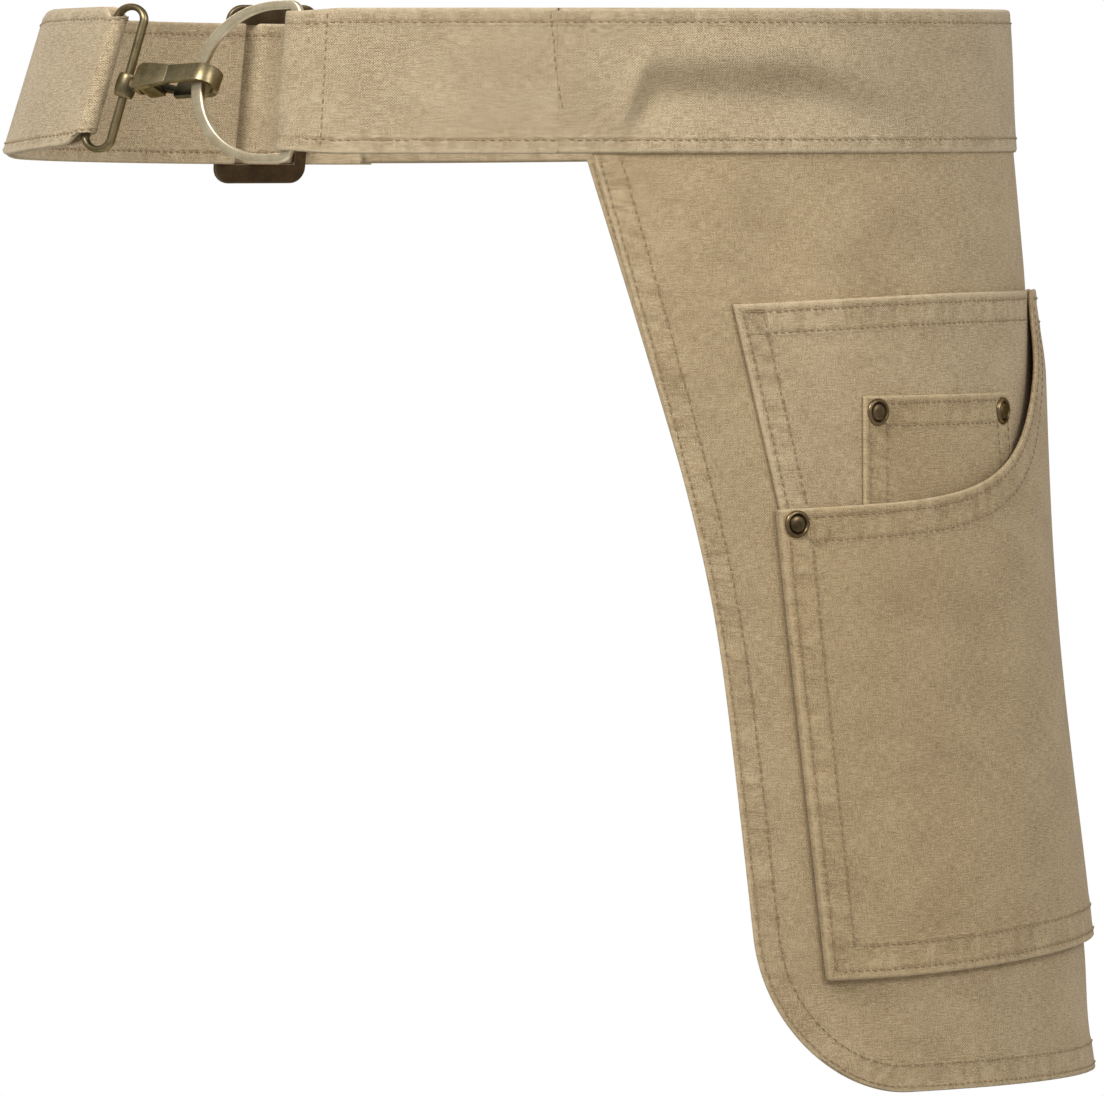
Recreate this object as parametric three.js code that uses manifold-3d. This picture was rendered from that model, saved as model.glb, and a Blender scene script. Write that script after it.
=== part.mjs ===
// Half waist apron: a shaped panel with a scooped front pocket on a waistband, closed behind
// by a D-ring, a snap hook and an adjusting strap. It keeps the form that it has when worn.
// Millimetres, +Z up. +X is the wearer's front and -Y the side that carries the snap hook.
// The origin is the middle of the waist loop, half way up the band.
import * as THREE from "three";
import { mergeVertices } from "three/addons/utils/BufferGeometryUtils.js";
import loadManifold from "manifold-3d";

const wasm = await loadManifold();
wasm.setup();

// Waist loop, half way up the band: two half ellipses that share their sideways axis
const FRONT_DEPTH = 180;
const BACK_DEPTH = 173.7;
const HALF_WIDTH = 158.75;

// How far the form grows outwards for each millimetre that it drops
const BAND_FLARE = 0.053;
const SIDE_FLARE = 0.05;
const PANEL_FLARE = 0.0905;
const BACK_LEAN = 0.251;

// The panel sinks a little behind the pocket
const HOLLOW_DEPTH = 4;
const HOLLOW_TOP = -65;
const HOLLOW_LENGTH = 250;
const HOLLOW_SHARPNESS = 1.5;

// Waistband
const BAND_HEIGHT = 51;
const BAND_LOW = -BAND_HEIGHT / 2;
const BAND_OUT = 1;
const BAND_IN = -1.6;
const BAND_NEAR_SEAM = 250;
const BAND_FAR_END = -322;
const BAND_STEP = 12;
const SEAM_GAP = 0.3;

// The band's far end hangs lower than its front
const FAR_HANG_FADE = 267;

// Panel: sloping side edges that turn upright, and round lower corners. It hangs turned a
// little, so its far half is shorter across towards the hem.
const PANEL_THICKNESS = 1.4;
const PANEL_HEM = -355.6;
const PANEL_HALF_WIDTH = 212;
const PANEL_FAR_SHORT = 8;
const PANEL_CORNER_RADIUS = 56;
const EDGE_SLOPE = 0.178;
const EDGE_TURN = -181.6;
const EDGE_TURN_BLEND = 17;
const PANEL_SIDE_ROWS = 15;
const PANEL_CORNER_ROWS = 7;
const PANEL_COLUMNS = 32;

// Pocket layers, measured outwards from the panel's face
const LAYER_GAP = 0.4;
const FACET_GAP = 0.15;
const POCKET_THICKNESS = 1.1;
const BACKING_SEAT = LAYER_GAP + FACET_GAP;
const FRONT_SEAT = BACKING_SEAT + POCKET_THICKNESS + LAYER_GAP;
const COIN_SEAT = FRONT_SEAT;

// Pocket outline: distances from the centre front and heights
const POCKET_TOP = -75;
const POCKET_TOP_DROOP = 5;
const POCKET_TOP_LEVEL_SHARE = 0.4;
const POCKET_HALF_WIDTH = 186.6;
const POCKET_CORNER = -150.2;
const POCKET_BOTTOM_SIDE = -315.3;
const POCKET_BOTTOM_CENTRE = -308.4;
const BACKING_TOP_HALF_WIDTH = 195.2;
const BACKING_INSET = 1.8;
const MOUTH_CENTRE_HALF_WIDTH = 26;
const MOUTH_LOW_HANDLE = { across: 107, height: -146 };
const MOUTH_HIGH_HANDLE = { across: 53.5, height: -154 };
const MOUTH_BULGE = 2.8;
const MOUTH_SIDE_POWER = 8;
const MOUTH_RISE_POWER = 0.8;
const MOUTH_STEPS = 13;
const CENTRE_STEPS = 4;
const POCKET_ROWS = 9;
const BACKING_COLUMNS = 30;

// Coin pocket inside the near scoop
const COIN = { front: 63, rearTop: 146.8, rearLow: 151.6, top: -110.8, tuck: 7 };
const COIN_COLUMNS = 6;
const COIN_ROWS = 3;

// Rivets: places on the near half, and the cap's turned profile
const RIVET_PROFILE = [
  { radius: 0, height: 0 },
  { radius: 4.8, height: 0 },
  { radius: 4.8, height: 0.6 },
  { radius: 4.2, height: 1.2 },
  { radius: 3.2, height: 1.2 },
  { radius: 2.8, height: 0.8 },
  { radius: 1.8, height: 1.4 },
  { radius: 0, height: 1.6 },
];
const RIVET_SIDES = 16;
const RIVETS = [
  { name: "rivet_coin_rear", across: 141.3, height: -116.5, seat: COIN_SEAT },
  { name: "rivet_coin_front", across: 69.3, height: -117.4, seat: COIN_SEAT },
  { name: "rivet_pocket_near", across: 180.3, height: -155.2, seat: FRONT_SEAT },
  { name: "rivet_pocket_far", across: -180.3, height: -155.2, seat: FRONT_SEAT },
];

// Ring tab: the doubled strip at the band's near end
const TAB_THICKNESS = 1.2;
const TAB_LEG = 0.65;
const TAB_MIDDLE = (BAND_OUT + BAND_IN) / 2;
const TAB_BAR = 345;
const TAB_CLOSED = 326;
const TAB_FOLD_RADIUS = 3.3;
const TAB_FOLD_REACH = 4;
const TAB_NARROWING = 1;
const TAB_STEPS = 16;
const TAB_TURN_STEPS = 8;

// D-ring of flat bar, whose arms narrow from the bow to the straight bar
const RING_BAR_WIDTH = 5;
const RING_ARM_WIDTH = 3;
const RING_BAR_THICKNESS = 2.5;
const RING_HALF_HEIGHT = 28.7;
const RING_BOW_CENTRE = 10;
const RING_BOW_REACH = 35.5;
const RING_SEGMENTS = 20;

// Wire loop in the strap's fold
const WIRE_RADIUS = 1.6;
const WIRE_LEG_GAP = 12.3;
const WIRE_HEIGHT = 54.5;
const WIRE_END_RISE = 4.2;
const WIRE_SEGMENTS = 44;
const WIRE_SIDES = 8;
const WIRE_END_STEPS = 8;
const WIRE_LEG_SHARES = [0.85, 0.3, -0.3, -0.85];

// Strap and its fold round the wire loop
const STRAP_WIDTH = 52;
const STRAP_THICKNESS = 1.6;
const STRAP_LEG = 1.3;
const STRAP_FOLD_AT = 433.6;
const STRAP_FOLD_RADIUS = 3;
const STRAP_FOLD_TAPER = 18;
const STRAP_FOLD_RISE = 2;
const STRAP_FAR_HANG = -4.5;
const STRAP_HANG_POWER = 2.8;
const STRAP_FOLD_TILT = 0.11;
const STRAP_TILT_FADE = 90;
const STRAP_NARROWING = 1.6;
const STRAP_NARROWING_FADE = 60;
const STRAP_CORNER = 3.8;
const STRAP_CORNER_FADE = 9;
const STRAP_STEP = 9;
const STRAP_TAIL = 32;
const TAIL_SHARES = [0.7, 1];
const STRAP_STEPS_PER_STRETCH = 2;

// Three-bar slider, and the strap's two passes through it.
// "along" runs with the loop from the slider's middle towards the band's far end.
const SLIDER_AT = 694;
const SLIDER_LENGTH = 38;
const SLIDER_HEIGHT = 67;
const SLIDER_THICKNESS = 2;
const SLIDER_CORNER = 6;
const SLIDER_BAR = 5;
const SLIDER_SLOT_HEIGHT = 53.6;
const SLIDER_SLOT_CORNER = 0.5;
const SLIDER_CORNER_STEPS = 4;
const SLIDER_LEVEL_REACH = 19;
const SLIDER_LEVEL_FADE = 45;
const PASS_GAP = 0.55;
const PASS_CLOSE = SLIDER_THICKNESS / 2 + STRAP_THICKNESS / 2 + PASS_GAP;
const PASS_OVER = PASS_CLOSE + STRAP_THICKNESS + PASS_GAP;
const LOOP_CURVE_RADIUS = 176;
const RUNNING_PASS = [
  { along: 30, out: 1.2 },
  { along: 21, out: PASS_CLOSE },
  { along: 14, out: PASS_CLOSE },
  { along: 9, out: 0.2 },
  { along: 4, out: -PASS_CLOSE },
  { along: -3.5, out: -PASS_CLOSE },
  { along: -6.5, out: 0.4 },
  { along: -10.5, out: PASS_OVER },
  { along: -20, out: PASS_OVER },
  { along: -31, out: PASS_OVER - 0.2 },
  { along: -44, out: STRAP_LEG },
];
const FIXED_PASS_IN = [
  { along: -44, out: -STRAP_LEG },
  { along: -28, out: -PASS_CLOSE },
];
const FIXED_TURN_AT = -14.2;
const TURN_STEPS = 6;

// Snap hook: lengths run from the eye's middle towards the nose, depths inwards from its axis
const HOOK_WIDTH = 7;
const HOOK_ROLL = -0.42;
const HOOK_EYE_RISE = 0.2;
const HOOK_NOSE_RISE = 0.8;
const NOSE_CENTRE = 35;
const NOSE_INNER = 4;
const NOSE_OUTER = 6;
const NOSE_TIP = 29.5;
const NOSE_STEPS = 10;
const SPINE_ROOT = 2;
const BODY_REAR = 8.1;
const BODY_SHOULDER = 9.6;
const BODY_WIDE_END = 12.6;
const BODY_FRONT = 22;
const BODY_REAR_HALF = 3.6;
const BODY_WIDE_HALF = 5;
const BODY_OUTER = -6.2;
const BODY_INNER = 4;
const BODY_TAPER = 0.34;
const PLATE_INNER = -3.7;
const LUG_FRONT = 16;
const LUG_WALL = 1.3;
const GATE_SLOT_HALF = 1.6;
const GATE_PIVOT = { along: 12.4, inward: 2.2 };
const GATE_HUB = 1.9;
const GATE_LINE = 5;
const GATE_HALF_THICKNESS = 1;
const GATE_ARM_WIDTH = 2.6;
const GATE_WIDTH = 6.4;
const GATE_BEND = 19.5;
const GATE_TIP = 29;
const SPUR = { front: 10.9, rear: 9.9, reach: 5.2, heel: 0.8 };
const PIN_RADIUS = 0.8;
const PIN_HOLE_RADIUS = 1.1;
const PIN_LENGTH = 6.6;
const EYE_CORE = 2.85;
const EYE_TUBE = 0.95;
const EYE_HALF_HEIGHT = 4.3;
const NECK_RADIUS = 3.7;
const NECK_TAPER = 0.62;
const ROUND_SIDES = 16;
const EYE_STEPS = { round: 10, ring: 24 };
const NECK_FRONT = BODY_REAR - SEAM_GAP;
const NECK_REAR = 2.7;

// Colours and finishes
const canvas = { color: 0xb29e7e, roughness: 0.95, metalness: 0 };
const paleCanvas = { color: 0xbfaf92, roughness: 0.95, metalness: 0 };
const antiqueBrass = { color: 0x7b6950, roughness: 0.4, metalness: 1 };
const paleBrass = { color: 0xb3a88e, roughness: 0.35, metalness: 1 };
const darkBronze = { color: 0x3c3021, roughness: 0.5, metalness: 1 };

const apron = new THREE.Group();

// Adds a geometry to a group as a named piece with its own material.
function addPiece(group, name, geometry, finish) {
  const mesh = new THREE.Mesh(geometry, new THREE.MeshStandardMaterial(finish));
  mesh.name = name;
  group.add(mesh);
  return mesh;
}

// Number from 0 to 1 that eases in and out.
function smooth(value) {
  const t = THREE.MathUtils.clamp(value, 0, 1);
  return t * t * (3 - 2 * t);
}

// Length along an ellipse from its front to an angle.
function arcLength(angle, axes) {
  const steps = 24;
  let sum = 0;
  for (let i = 0; i < steps; i += 1) {
    const t = (angle * (i + 0.5)) / steps;
    sum += Math.hypot(axes.forward * Math.sin(t), axes.sideways * Math.cos(t));
  }
  return (sum * angle) / steps;
}

// Angle at a length along an ellipse, by Newton's method.
function angleAtArc(arc, axes) {
  let angle = arc / axes.sideways;
  for (let i = 0; i < 8; i += 1) {
    const speed = Math.hypot(axes.forward * Math.sin(angle), axes.sideways * Math.cos(angle));
    angle -= (arcLength(angle, axes) - arc) / speed;
  }
  return angle;
}

const FRONT_AXES = { forward: FRONT_DEPTH, sideways: HALF_WIDTH };
const BACK_AXES = { forward: HALF_WIDTH, sideways: BACK_DEPTH };
const FRONT_QUARTER = arcLength(Math.PI / 2, FRONT_AXES);
const BACK_QUARTER = arcLength(Math.PI / 2, BACK_AXES);
const LOOP_LENGTH = 2 * (FRONT_QUARTER + BACK_QUARTER);

// Height that a place on the loop hangs above or below the band's front.
function hang(distance) {
  const around = distance < 0 ? distance + LOOP_LENGTH : distance;
  if (around < STRAP_FOLD_AT - STRAP_FOLD_TAPER) {
    return 0;
  }
  const farEnd = LOOP_LENGTH + BAND_FAR_END;
  const toGo = Math.max(0, farEnd - around) / (farEnd - STRAP_FOLD_AT);
  const climb = (STRAP_FOLD_RISE - STRAP_FAR_HANG) * toGo ** STRAP_HANG_POWER;
  return (STRAP_FAR_HANG + climb) * (1 - smooth((around - farEnd) / FAR_HANG_FADE));
}

// The loop at a distance from the centre front: its point, its outward and onward
// directions, and how far it leans out for each millimetre down.
function loopFrame(distance) {
  const side = Math.sign(distance) || 1;
  const length = Math.abs(distance);
  let x;
  let y;
  let out;
  if (length < FRONT_QUARTER) {
    const angle = angleAtArc(length, FRONT_AXES);
    x = FRONT_DEPTH * Math.cos(angle);
    y = -side * HALF_WIDTH * Math.sin(angle);
    out = new THREE.Vector3(x / FRONT_DEPTH ** 2, y / HALF_WIDTH ** 2, 0).normalize();
  } else {
    const angle = angleAtArc(length - FRONT_QUARTER, BACK_AXES);
    x = -BACK_DEPTH * Math.sin(angle);
    y = -side * HALF_WIDTH * Math.cos(angle);
    out = new THREE.Vector3(x / BACK_DEPTH ** 2, y / HALF_WIDTH ** 2, 0).normalize();
  }
  return {
    point: new THREE.Vector3(x, y, 0),
    out,
    onward: new THREE.Vector3(out.y, -out.x, 0),
    lean: BAND_FLARE + BACK_LEAN * Math.max(0, -x / BACK_DEPTH),
  };
}

// Upright line across the loop, leaning with the body and tilted along the loop.
function crossLine(frame, tilt) {
  const line = new THREE.Vector3(0, 0, 1);
  line.addScaledVector(frame.out, -frame.lean);
  return line.addScaledVector(frame.onward, -tilt);
}

// Plan of the front form at a height.
function planAxes(z) {
  const drop = Math.max(0, BAND_LOW - z);
  return {
    forward: FRONT_DEPTH - BAND_FLARE * Math.max(z, BAND_LOW) + PANEL_FLARE * drop,
    sideways: HALF_WIDTH - SIDE_FLARE * z,
  };
}

// Outward direction of the front form.
function frontOut(across, z) {
  const axes = planAxes(z);
  const angle = angleAtArc(across, axes);
  return new THREE.Vector3(
    Math.cos(angle) / axes.forward,
    -Math.sin(angle) / axes.sideways,
    0,
  ).normalize();
}

// How far the cloth sinks at a height, most at the centre front and not at all at the sides.
function hollow(angle, z) {
  const fall = THREE.MathUtils.clamp((HOLLOW_TOP - z) / HOLLOW_LENGTH, 0, 1);
  const depth = HOLLOW_DEPTH * Math.abs(Math.sin(Math.PI * fall)) ** HOLLOW_SHARPNESS;
  return depth * Math.cos(angle) ** 2;
}

// Point of the front form, a distance across from the centre front, lifted outwards.
function frontPoint(across, z, lift) {
  const axes = planAxes(z);
  const angle = angleAtArc(across, axes);
  const x = axes.forward * Math.cos(angle);
  const y = -axes.sideways * Math.sin(angle);
  const point = new THREE.Vector3(x, y, z + hang(across));
  return point.addScaledVector(frontOut(across, z), lift - hollow(angle, z));
}

// Turns a closed geometry's faces outwards.
function facingOut(geometry) {
  const p = geometry.attributes.position;
  const index = geometry.index.array;
  const corner = (i) => new THREE.Vector3().fromBufferAttribute(p, index[i]);
  let volume = 0;
  for (let i = 0; i < index.length; i += 3) {
    volume += corner(i).dot(corner(i + 1).cross(corner(i + 2)));
  }
  if (volume < 0) {
    index.reverse();
  }
  return geometry;
}

// Closed wall between two grids of points of the same size.
function wallBetween(firstFace, secondFace) {
  const rows = firstFace.length;
  const columns = firstFace[0].length;
  const points = [...firstFace.flat(), ...secondFace.flat()];
  const at = (face, row, column) => (face * rows + row) * columns + column;
  const index = [];
  const quad = (a, b, c, d) => index.push(a, b, c, a, c, d);
  for (let r = 0; r + 1 < rows; r += 1) {
    for (let c = 0; c + 1 < columns; c += 1) {
      quad(at(0, r, c), at(0, r, c + 1), at(0, r + 1, c + 1), at(0, r + 1, c));
      quad(at(1, r, c), at(1, r + 1, c), at(1, r + 1, c + 1), at(1, r, c + 1));
    }
    quad(at(0, r, 0), at(0, r + 1, 0), at(1, r + 1, 0), at(1, r, 0));
    const last = columns - 1;
    quad(at(0, r, last), at(1, r, last), at(1, r + 1, last), at(0, r + 1, last));
  }
  for (let c = 0; c + 1 < columns; c += 1) {
    quad(at(0, 0, c), at(1, 0, c), at(1, 0, c + 1), at(0, 0, c + 1));
    const last = rows - 1;
    quad(at(0, last, c), at(0, last, c + 1), at(1, last, c + 1), at(1, last, c));
  }
  const geometry = new THREE.BufferGeometry().setFromPoints(points);
  geometry.setIndex(index);
  return facingOut(geometry);
}

// Wall of cloth on the front form. Each spot of the grid has its place across, its
// height and the lift of its inner face.
function clothWall(grid, thickness) {
  const face = (extra) =>
    grid.map((row) => row.map((spot) => frontPoint(spot.across, spot.z, spot.lift + extra)));
  return wallBetween(face(thickness), face(0));
}

// Strip along the loop. Each station has its distance round the loop, its distance out,
// its cross line and half its width.
function ribbon(stations, thickness) {
  const frames = stations.map((station) => loopFrame(station.distance));
  const faces = [1, -1].map((side) =>
    stations.map((station, i) => {
      const before = stations[Math.max(0, i - 1)];
      const after = stations[Math.min(stations.length - 1, i + 1)];
      const turn = new THREE.Vector2(after.distance - before.distance, after.out - before.out);
      turn.normalize();
      const { point, out, onward } = frames[i];
      const middle = point.clone().addScaledVector(out, station.out);
      middle.z += hang(station.distance);
      middle.addScaledVector(out, (side * turn.x * thickness) / 2);
      middle.addScaledVector(onward, (-side * turn.y * thickness) / 2);
      const heights = [-station.half, 0, station.half];
      return heights.map((z) => middle.clone().addScaledVector(station.line, z));
    }),
  );
  return wallBetween(faces[0], faces[1]);
}

// Evenly spaced numbers from one end to the other.
function spread(from, to, count) {
  return Array.from({ length: count + 1 }, (_, i) => from + ((to - from) * i) / count);
}

// Closed solid for joining and cutting.
function solidOf(geometry) {
  const bare = geometry.clone();
  bare.deleteAttribute("normal");
  bare.deleteAttribute("uv");
  const merged = mergeVertices(bare, 1e-4);
  const mesh = new wasm.Mesh({
    numProp: 3,
    vertProperties: new Float32Array(merged.attributes.position.array),
    triVerts: new Uint32Array(merged.index.array),
  });
  return new wasm.Manifold(mesh);
}

// Geometry of a joined or cut solid.
function geometryOf(solid) {
  const mesh = solid.getMesh();
  const geometry = new THREE.BufferGeometry();
  geometry.setAttribute("position", new THREE.BufferAttribute(mesh.vertProperties, 3));
  geometry.setIndex(new THREE.BufferAttribute(mesh.triVerts, 1));
  return geometry;
}

// Extruded shape whose thickness is centred on its plane.
function slab(shape, thickness, curveSegments) {
  const geometry = new THREE.ExtrudeGeometry(shape, {
    depth: thickness,
    bevelEnabled: false,
    curveSegments,
  });
  return geometry.translate(0, 0, -thickness / 2);
}

// Outline through corner points.
function polygon(corners) {
  return new THREE.Shape(corners.map(([x, y]) => new THREE.Vector2(x, y)));
}

// Half width of the panel's straight and sloping side edge at a height.
function panelSideEdge(z) {
  const turn = Math.log(1 + Math.exp((z - EDGE_TURN) / EDGE_TURN_BLEND));
  return PANEL_HALF_WIDTH + EDGE_SLOPE * EDGE_TURN_BLEND * turn;
}

// Rows of the panel from under the band to the hem, with round lower corners.
function panelRows() {
  const cornerTop = PANEL_HEM + PANEL_CORNER_RADIUS;
  const sides = spread(BAND_LOW - SEAM_GAP, cornerTop, PANEL_SIDE_ROWS);
  const rows = sides.map((z) => ({ z, near: panelSideEdge(z) }));
  for (const turn of spread(0, Math.PI / 2, PANEL_CORNER_ROWS).slice(1)) {
    rows.push({
      z: cornerTop - PANEL_CORNER_RADIUS * Math.sin(turn),
      near: PANEL_HALF_WIDTH - PANEL_CORNER_RADIUS * (1 - Math.cos(turn)),
    });
  }
  return rows.map(({ z, near }) => {
    const fall = (BAND_LOW - z) / (BAND_LOW - PANEL_HEM);
    return { z, near, far: near - PANEL_FAR_SHORT * fall };
  });
}

function buildPanel() {
  const grid = panelRows().map(({ z, near, far }) =>
    spread(-far, near, PANEL_COLUMNS).map((across) => ({ across, z, lift: -PANEL_THICKNESS })),
  );
  addPiece(apron, "apron_panel", clothWall(grid, PANEL_THICKNESS), canvas);
}

// Height of the pocket's top edge, which droops towards its outer corners.
function pocketTop(across) {
  const share = Math.abs(across) / BACKING_TOP_HALF_WIDTH;
  return POCKET_TOP - POCKET_TOP_DROOP * smooth(share - POCKET_TOP_LEVEL_SHARE);
}

// Height of the pocket's bottom edge.
function pocketBottom(across) {
  const share = smooth(Math.abs(across) / POCKET_HALF_WIDTH);
  return POCKET_BOTTOM_CENTRE + (POCKET_BOTTOM_SIDE - POCKET_BOTTOM_CENTRE) * share;
}

// The scooped mouth's edge on the near half, from the outer corner to the centre strip.
const mouthCurve = new THREE.CubicBezierCurve(
  new THREE.Vector2(POCKET_HALF_WIDTH, POCKET_CORNER),
  new THREE.Vector2(MOUTH_LOW_HANDLE.across, MOUTH_LOW_HANDLE.height),
  new THREE.Vector2(MOUTH_HIGH_HANDLE.across, MOUTH_HIGH_HANDLE.height),
  new THREE.Vector2(MOUTH_CENTRE_HALF_WIDTH, POCKET_TOP),
);

// Height of the mouth's edge at a place across.
function mouthHeight(across) {
  let low = 0;
  let high = 1;
  for (let i = 0; i < 30; i += 1) {
    const middle = (low + high) / 2;
    if (mouthCurve.getPoint(middle).x > Math.abs(across)) {
      low = middle;
    } else {
      high = middle;
    }
  }
  return Math.abs(across) < MOUTH_CENTRE_HALF_WIDTH ? POCKET_TOP : mouthCurve.getPoint(low).y;
}

// Lift of the pocket front's inner face: it stands open at its mouth.
function pocketFrontLift(across, rise) {
  const side = Math.abs(across) / POCKET_HALF_WIDTH;
  return FRONT_SEAT + MOUTH_BULGE * (1 - side ** MOUTH_SIDE_POWER) * rise ** MOUTH_RISE_POWER;
}

function buildPocketBacking() {
  const rows = spread(0, 1, POCKET_ROWS);
  const grid = rows.map((fall) =>
    spread(-1, 1, BACKING_COLUMNS).map((side) => {
      const nearTop = POCKET_HALF_WIDTH - BACKING_INSET;
      const lowZ = pocketBottom(side * nearTop) + BACKING_INSET;
      const topZ = pocketTop(side * BACKING_TOP_HALF_WIDTH);
      const z = topZ + (lowZ - topZ) * fall;
      const narrowing = Math.min(1, (topZ - z) / (topZ - POCKET_CORNER));
      const half = BACKING_TOP_HALF_WIDTH + (nearTop - BACKING_TOP_HALF_WIDTH) * narrowing;
      return { across: side * half, z, lift: BACKING_SEAT };
    }),
  );
  addPiece(apron, "pocket_backing", clothWall(grid, POCKET_THICKNESS), canvas);
}

function buildPocketFront() {
  const scoop = spread(0, 1, MOUTH_STEPS).map((t) => mouthCurve.getPoint(t).x);
  const strip = spread(MOUTH_CENTRE_HALF_WIDTH, -MOUTH_CENTRE_HALF_WIDTH, CENTRE_STEPS);
  const farScoop = scoop.map((across) => -across).reverse();
  const columns = [...scoop, ...strip.slice(1, -1), ...farScoop];
  const grid = spread(0, 1, POCKET_ROWS).map((rise) =>
    columns.map((across) => {
      const low = pocketBottom(across);
      const z = low + (mouthHeight(across) - low) * rise;
      return { across, z, lift: pocketFrontLift(across, rise) };
    }),
  );
  addPiece(apron, "pocket_front", clothWall(grid, POCKET_THICKNESS), canvas);
}

function buildCoinPocket() {
  const grid = spread(0, 1, COIN_ROWS).map((fall) =>
    spread(0, 1, COIN_COLUMNS).map((share) => {
      const rear = COIN.rearTop + (COIN.rearLow - COIN.rearTop) * fall;
      const across = COIN.front + (rear - COIN.front) * share;
      const low = mouthHeight(across) - COIN.tuck;
      return { across, z: COIN.top + (low - COIN.top) * fall, lift: COIN_SEAT };
    }),
  );
  addPiece(apron, "coin_pocket", clothWall(grid, POCKET_THICKNESS), canvas);
}

function buildRivets() {
  const profile = RIVET_PROFILE.map(({ radius, height }) => new THREE.Vector2(radius, height));
  for (const rivet of RIVETS) {
    const mesh = addPiece(
      apron,
      rivet.name,
      new THREE.LatheGeometry(profile, RIVET_SIDES),
      antiqueBrass,
    );
    const onFront = rivet.seat === FRONT_SEAT && rivet.height < POCKET_CORNER;
    const rise = (rivet.height - POCKET_BOTTOM_SIDE) / (POCKET_CORNER - POCKET_BOTTOM_SIDE);
    const seat = onFront ? pocketFrontLift(rivet.across, rise) : rivet.seat;
    const lift = seat + POCKET_THICKNESS + LAYER_GAP;
    mesh.position.copy(frontPoint(rivet.across, rivet.height, lift));
    const out = frontOut(rivet.across, rivet.height);
    mesh.quaternion.setFromUnitVectors(new THREE.Vector3(0, 1, 0), out);
  }
}

function buildWaistband() {
  const count = Math.round((BAND_NEAR_SEAM - BAND_FAR_END) / BAND_STEP);
  const stations = spread(BAND_FAR_END, BAND_NEAR_SEAM, count).map((distance) => ({
    distance,
    out: TAB_MIDDLE,
    line: crossLine(loopFrame(distance), 0),
    half: BAND_HEIGHT / 2,
  }));
  const geometry = ribbon(stations, BAND_OUT - BAND_IN);
  addPiece(apron, "waistband", geometry, paleCanvas);
}

// The tab runs out on the band's outer side, round the ring's bar and back inside.
function buildRingTab() {
  const openShare = (distance) => smooth((distance - TAB_CLOSED) / (TAB_BAR - TAB_CLOSED));
  const legAt = (distance) => TAB_LEG + (TAB_FOLD_RADIUS - TAB_LEG) * openShare(distance);
  const start = BAND_NEAR_SEAM + SEAM_GAP;
  const straight = spread(start, TAB_BAR, TAB_STEPS);
  const leg = straight.map((distance) => ({ distance, out: legAt(distance) }));
  const turn = spread(0, Math.PI, TAB_TURN_STEPS).map((angle) => ({
    distance: TAB_BAR + TAB_FOLD_REACH * Math.sin(angle),
    out: TAB_FOLD_RADIUS * Math.cos(angle),
  }));
  const back = leg.slice().reverse().map(({ distance, out }) => ({ distance, out: -out }));
  const path = [...leg.slice(0, -1), ...turn, ...back.slice(1)];
  const stations = path.map(({ distance, out }) => ({
    distance,
    out: out + TAB_MIDDLE,
    line: crossLine(loopFrame(distance), 0),
    half: BAND_HEIGHT / 2 - TAB_NARROWING * openShare(distance),
  }));
  const geometry = ribbon(stations, TAB_THICKNESS);
  addPiece(apron, "ring_tab", geometry, paleCanvas);
}

// Extra distance out that keeps the strap level with the flat slider on the round loop.
function sliderLevel(along) {
  const reach = Math.min(Math.abs(along), SLIDER_LEVEL_REACH);
  const past = Math.max(0, Math.abs(along) - SLIDER_LEVEL_REACH);
  const fade = 1 - smooth(past / (SLIDER_LEVEL_FADE - SLIDER_LEVEL_REACH));
  return (reach ** 2 / (2 * LOOP_CURVE_RADIUS)) * fade;
}

// The strap's cross line: level with the slider there, and tilted at the fold.
function strapLine(distance) {
  const behindFold = smooth((distance - STRAP_FOLD_AT) / STRAP_TILT_FADE);
  const line = crossLine(loopFrame(distance), STRAP_FOLD_TILT * (1 - behindFold));
  const past = Math.max(0, Math.abs(distance - SLIDER_AT) - SLIDER_LEVEL_REACH);
  const fade = smooth(past / (SLIDER_LEVEL_FADE - SLIDER_LEVEL_REACH));
  return crossLine(loopFrame(SLIDER_AT), 0).lerp(line, fade);
}

// Half the strap's width: it is gathered towards the wire loop, and its corners are round there.
function strapHalf(distance) {
  const past = Math.max(0, distance - STRAP_FOLD_AT);
  const gathered = STRAP_NARROWING * (1 - Math.min(1, past / STRAP_NARROWING_FADE));
  const rounded = STRAP_CORNER * (1 - Math.min(1, past / STRAP_CORNER_FADE)) ** 2;
  return STRAP_WIDTH / 2 - gathered - rounded;
}

// Distance of a strap leg from the loop's line: it opens at the fold round the wire.
function strapLeg(distance) {
  const open = 1 - smooth((distance - STRAP_FOLD_AT) / STRAP_FOLD_TAPER);
  return STRAP_LEG + (STRAP_FOLD_RADIUS - STRAP_LEG) * open;
}

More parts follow.
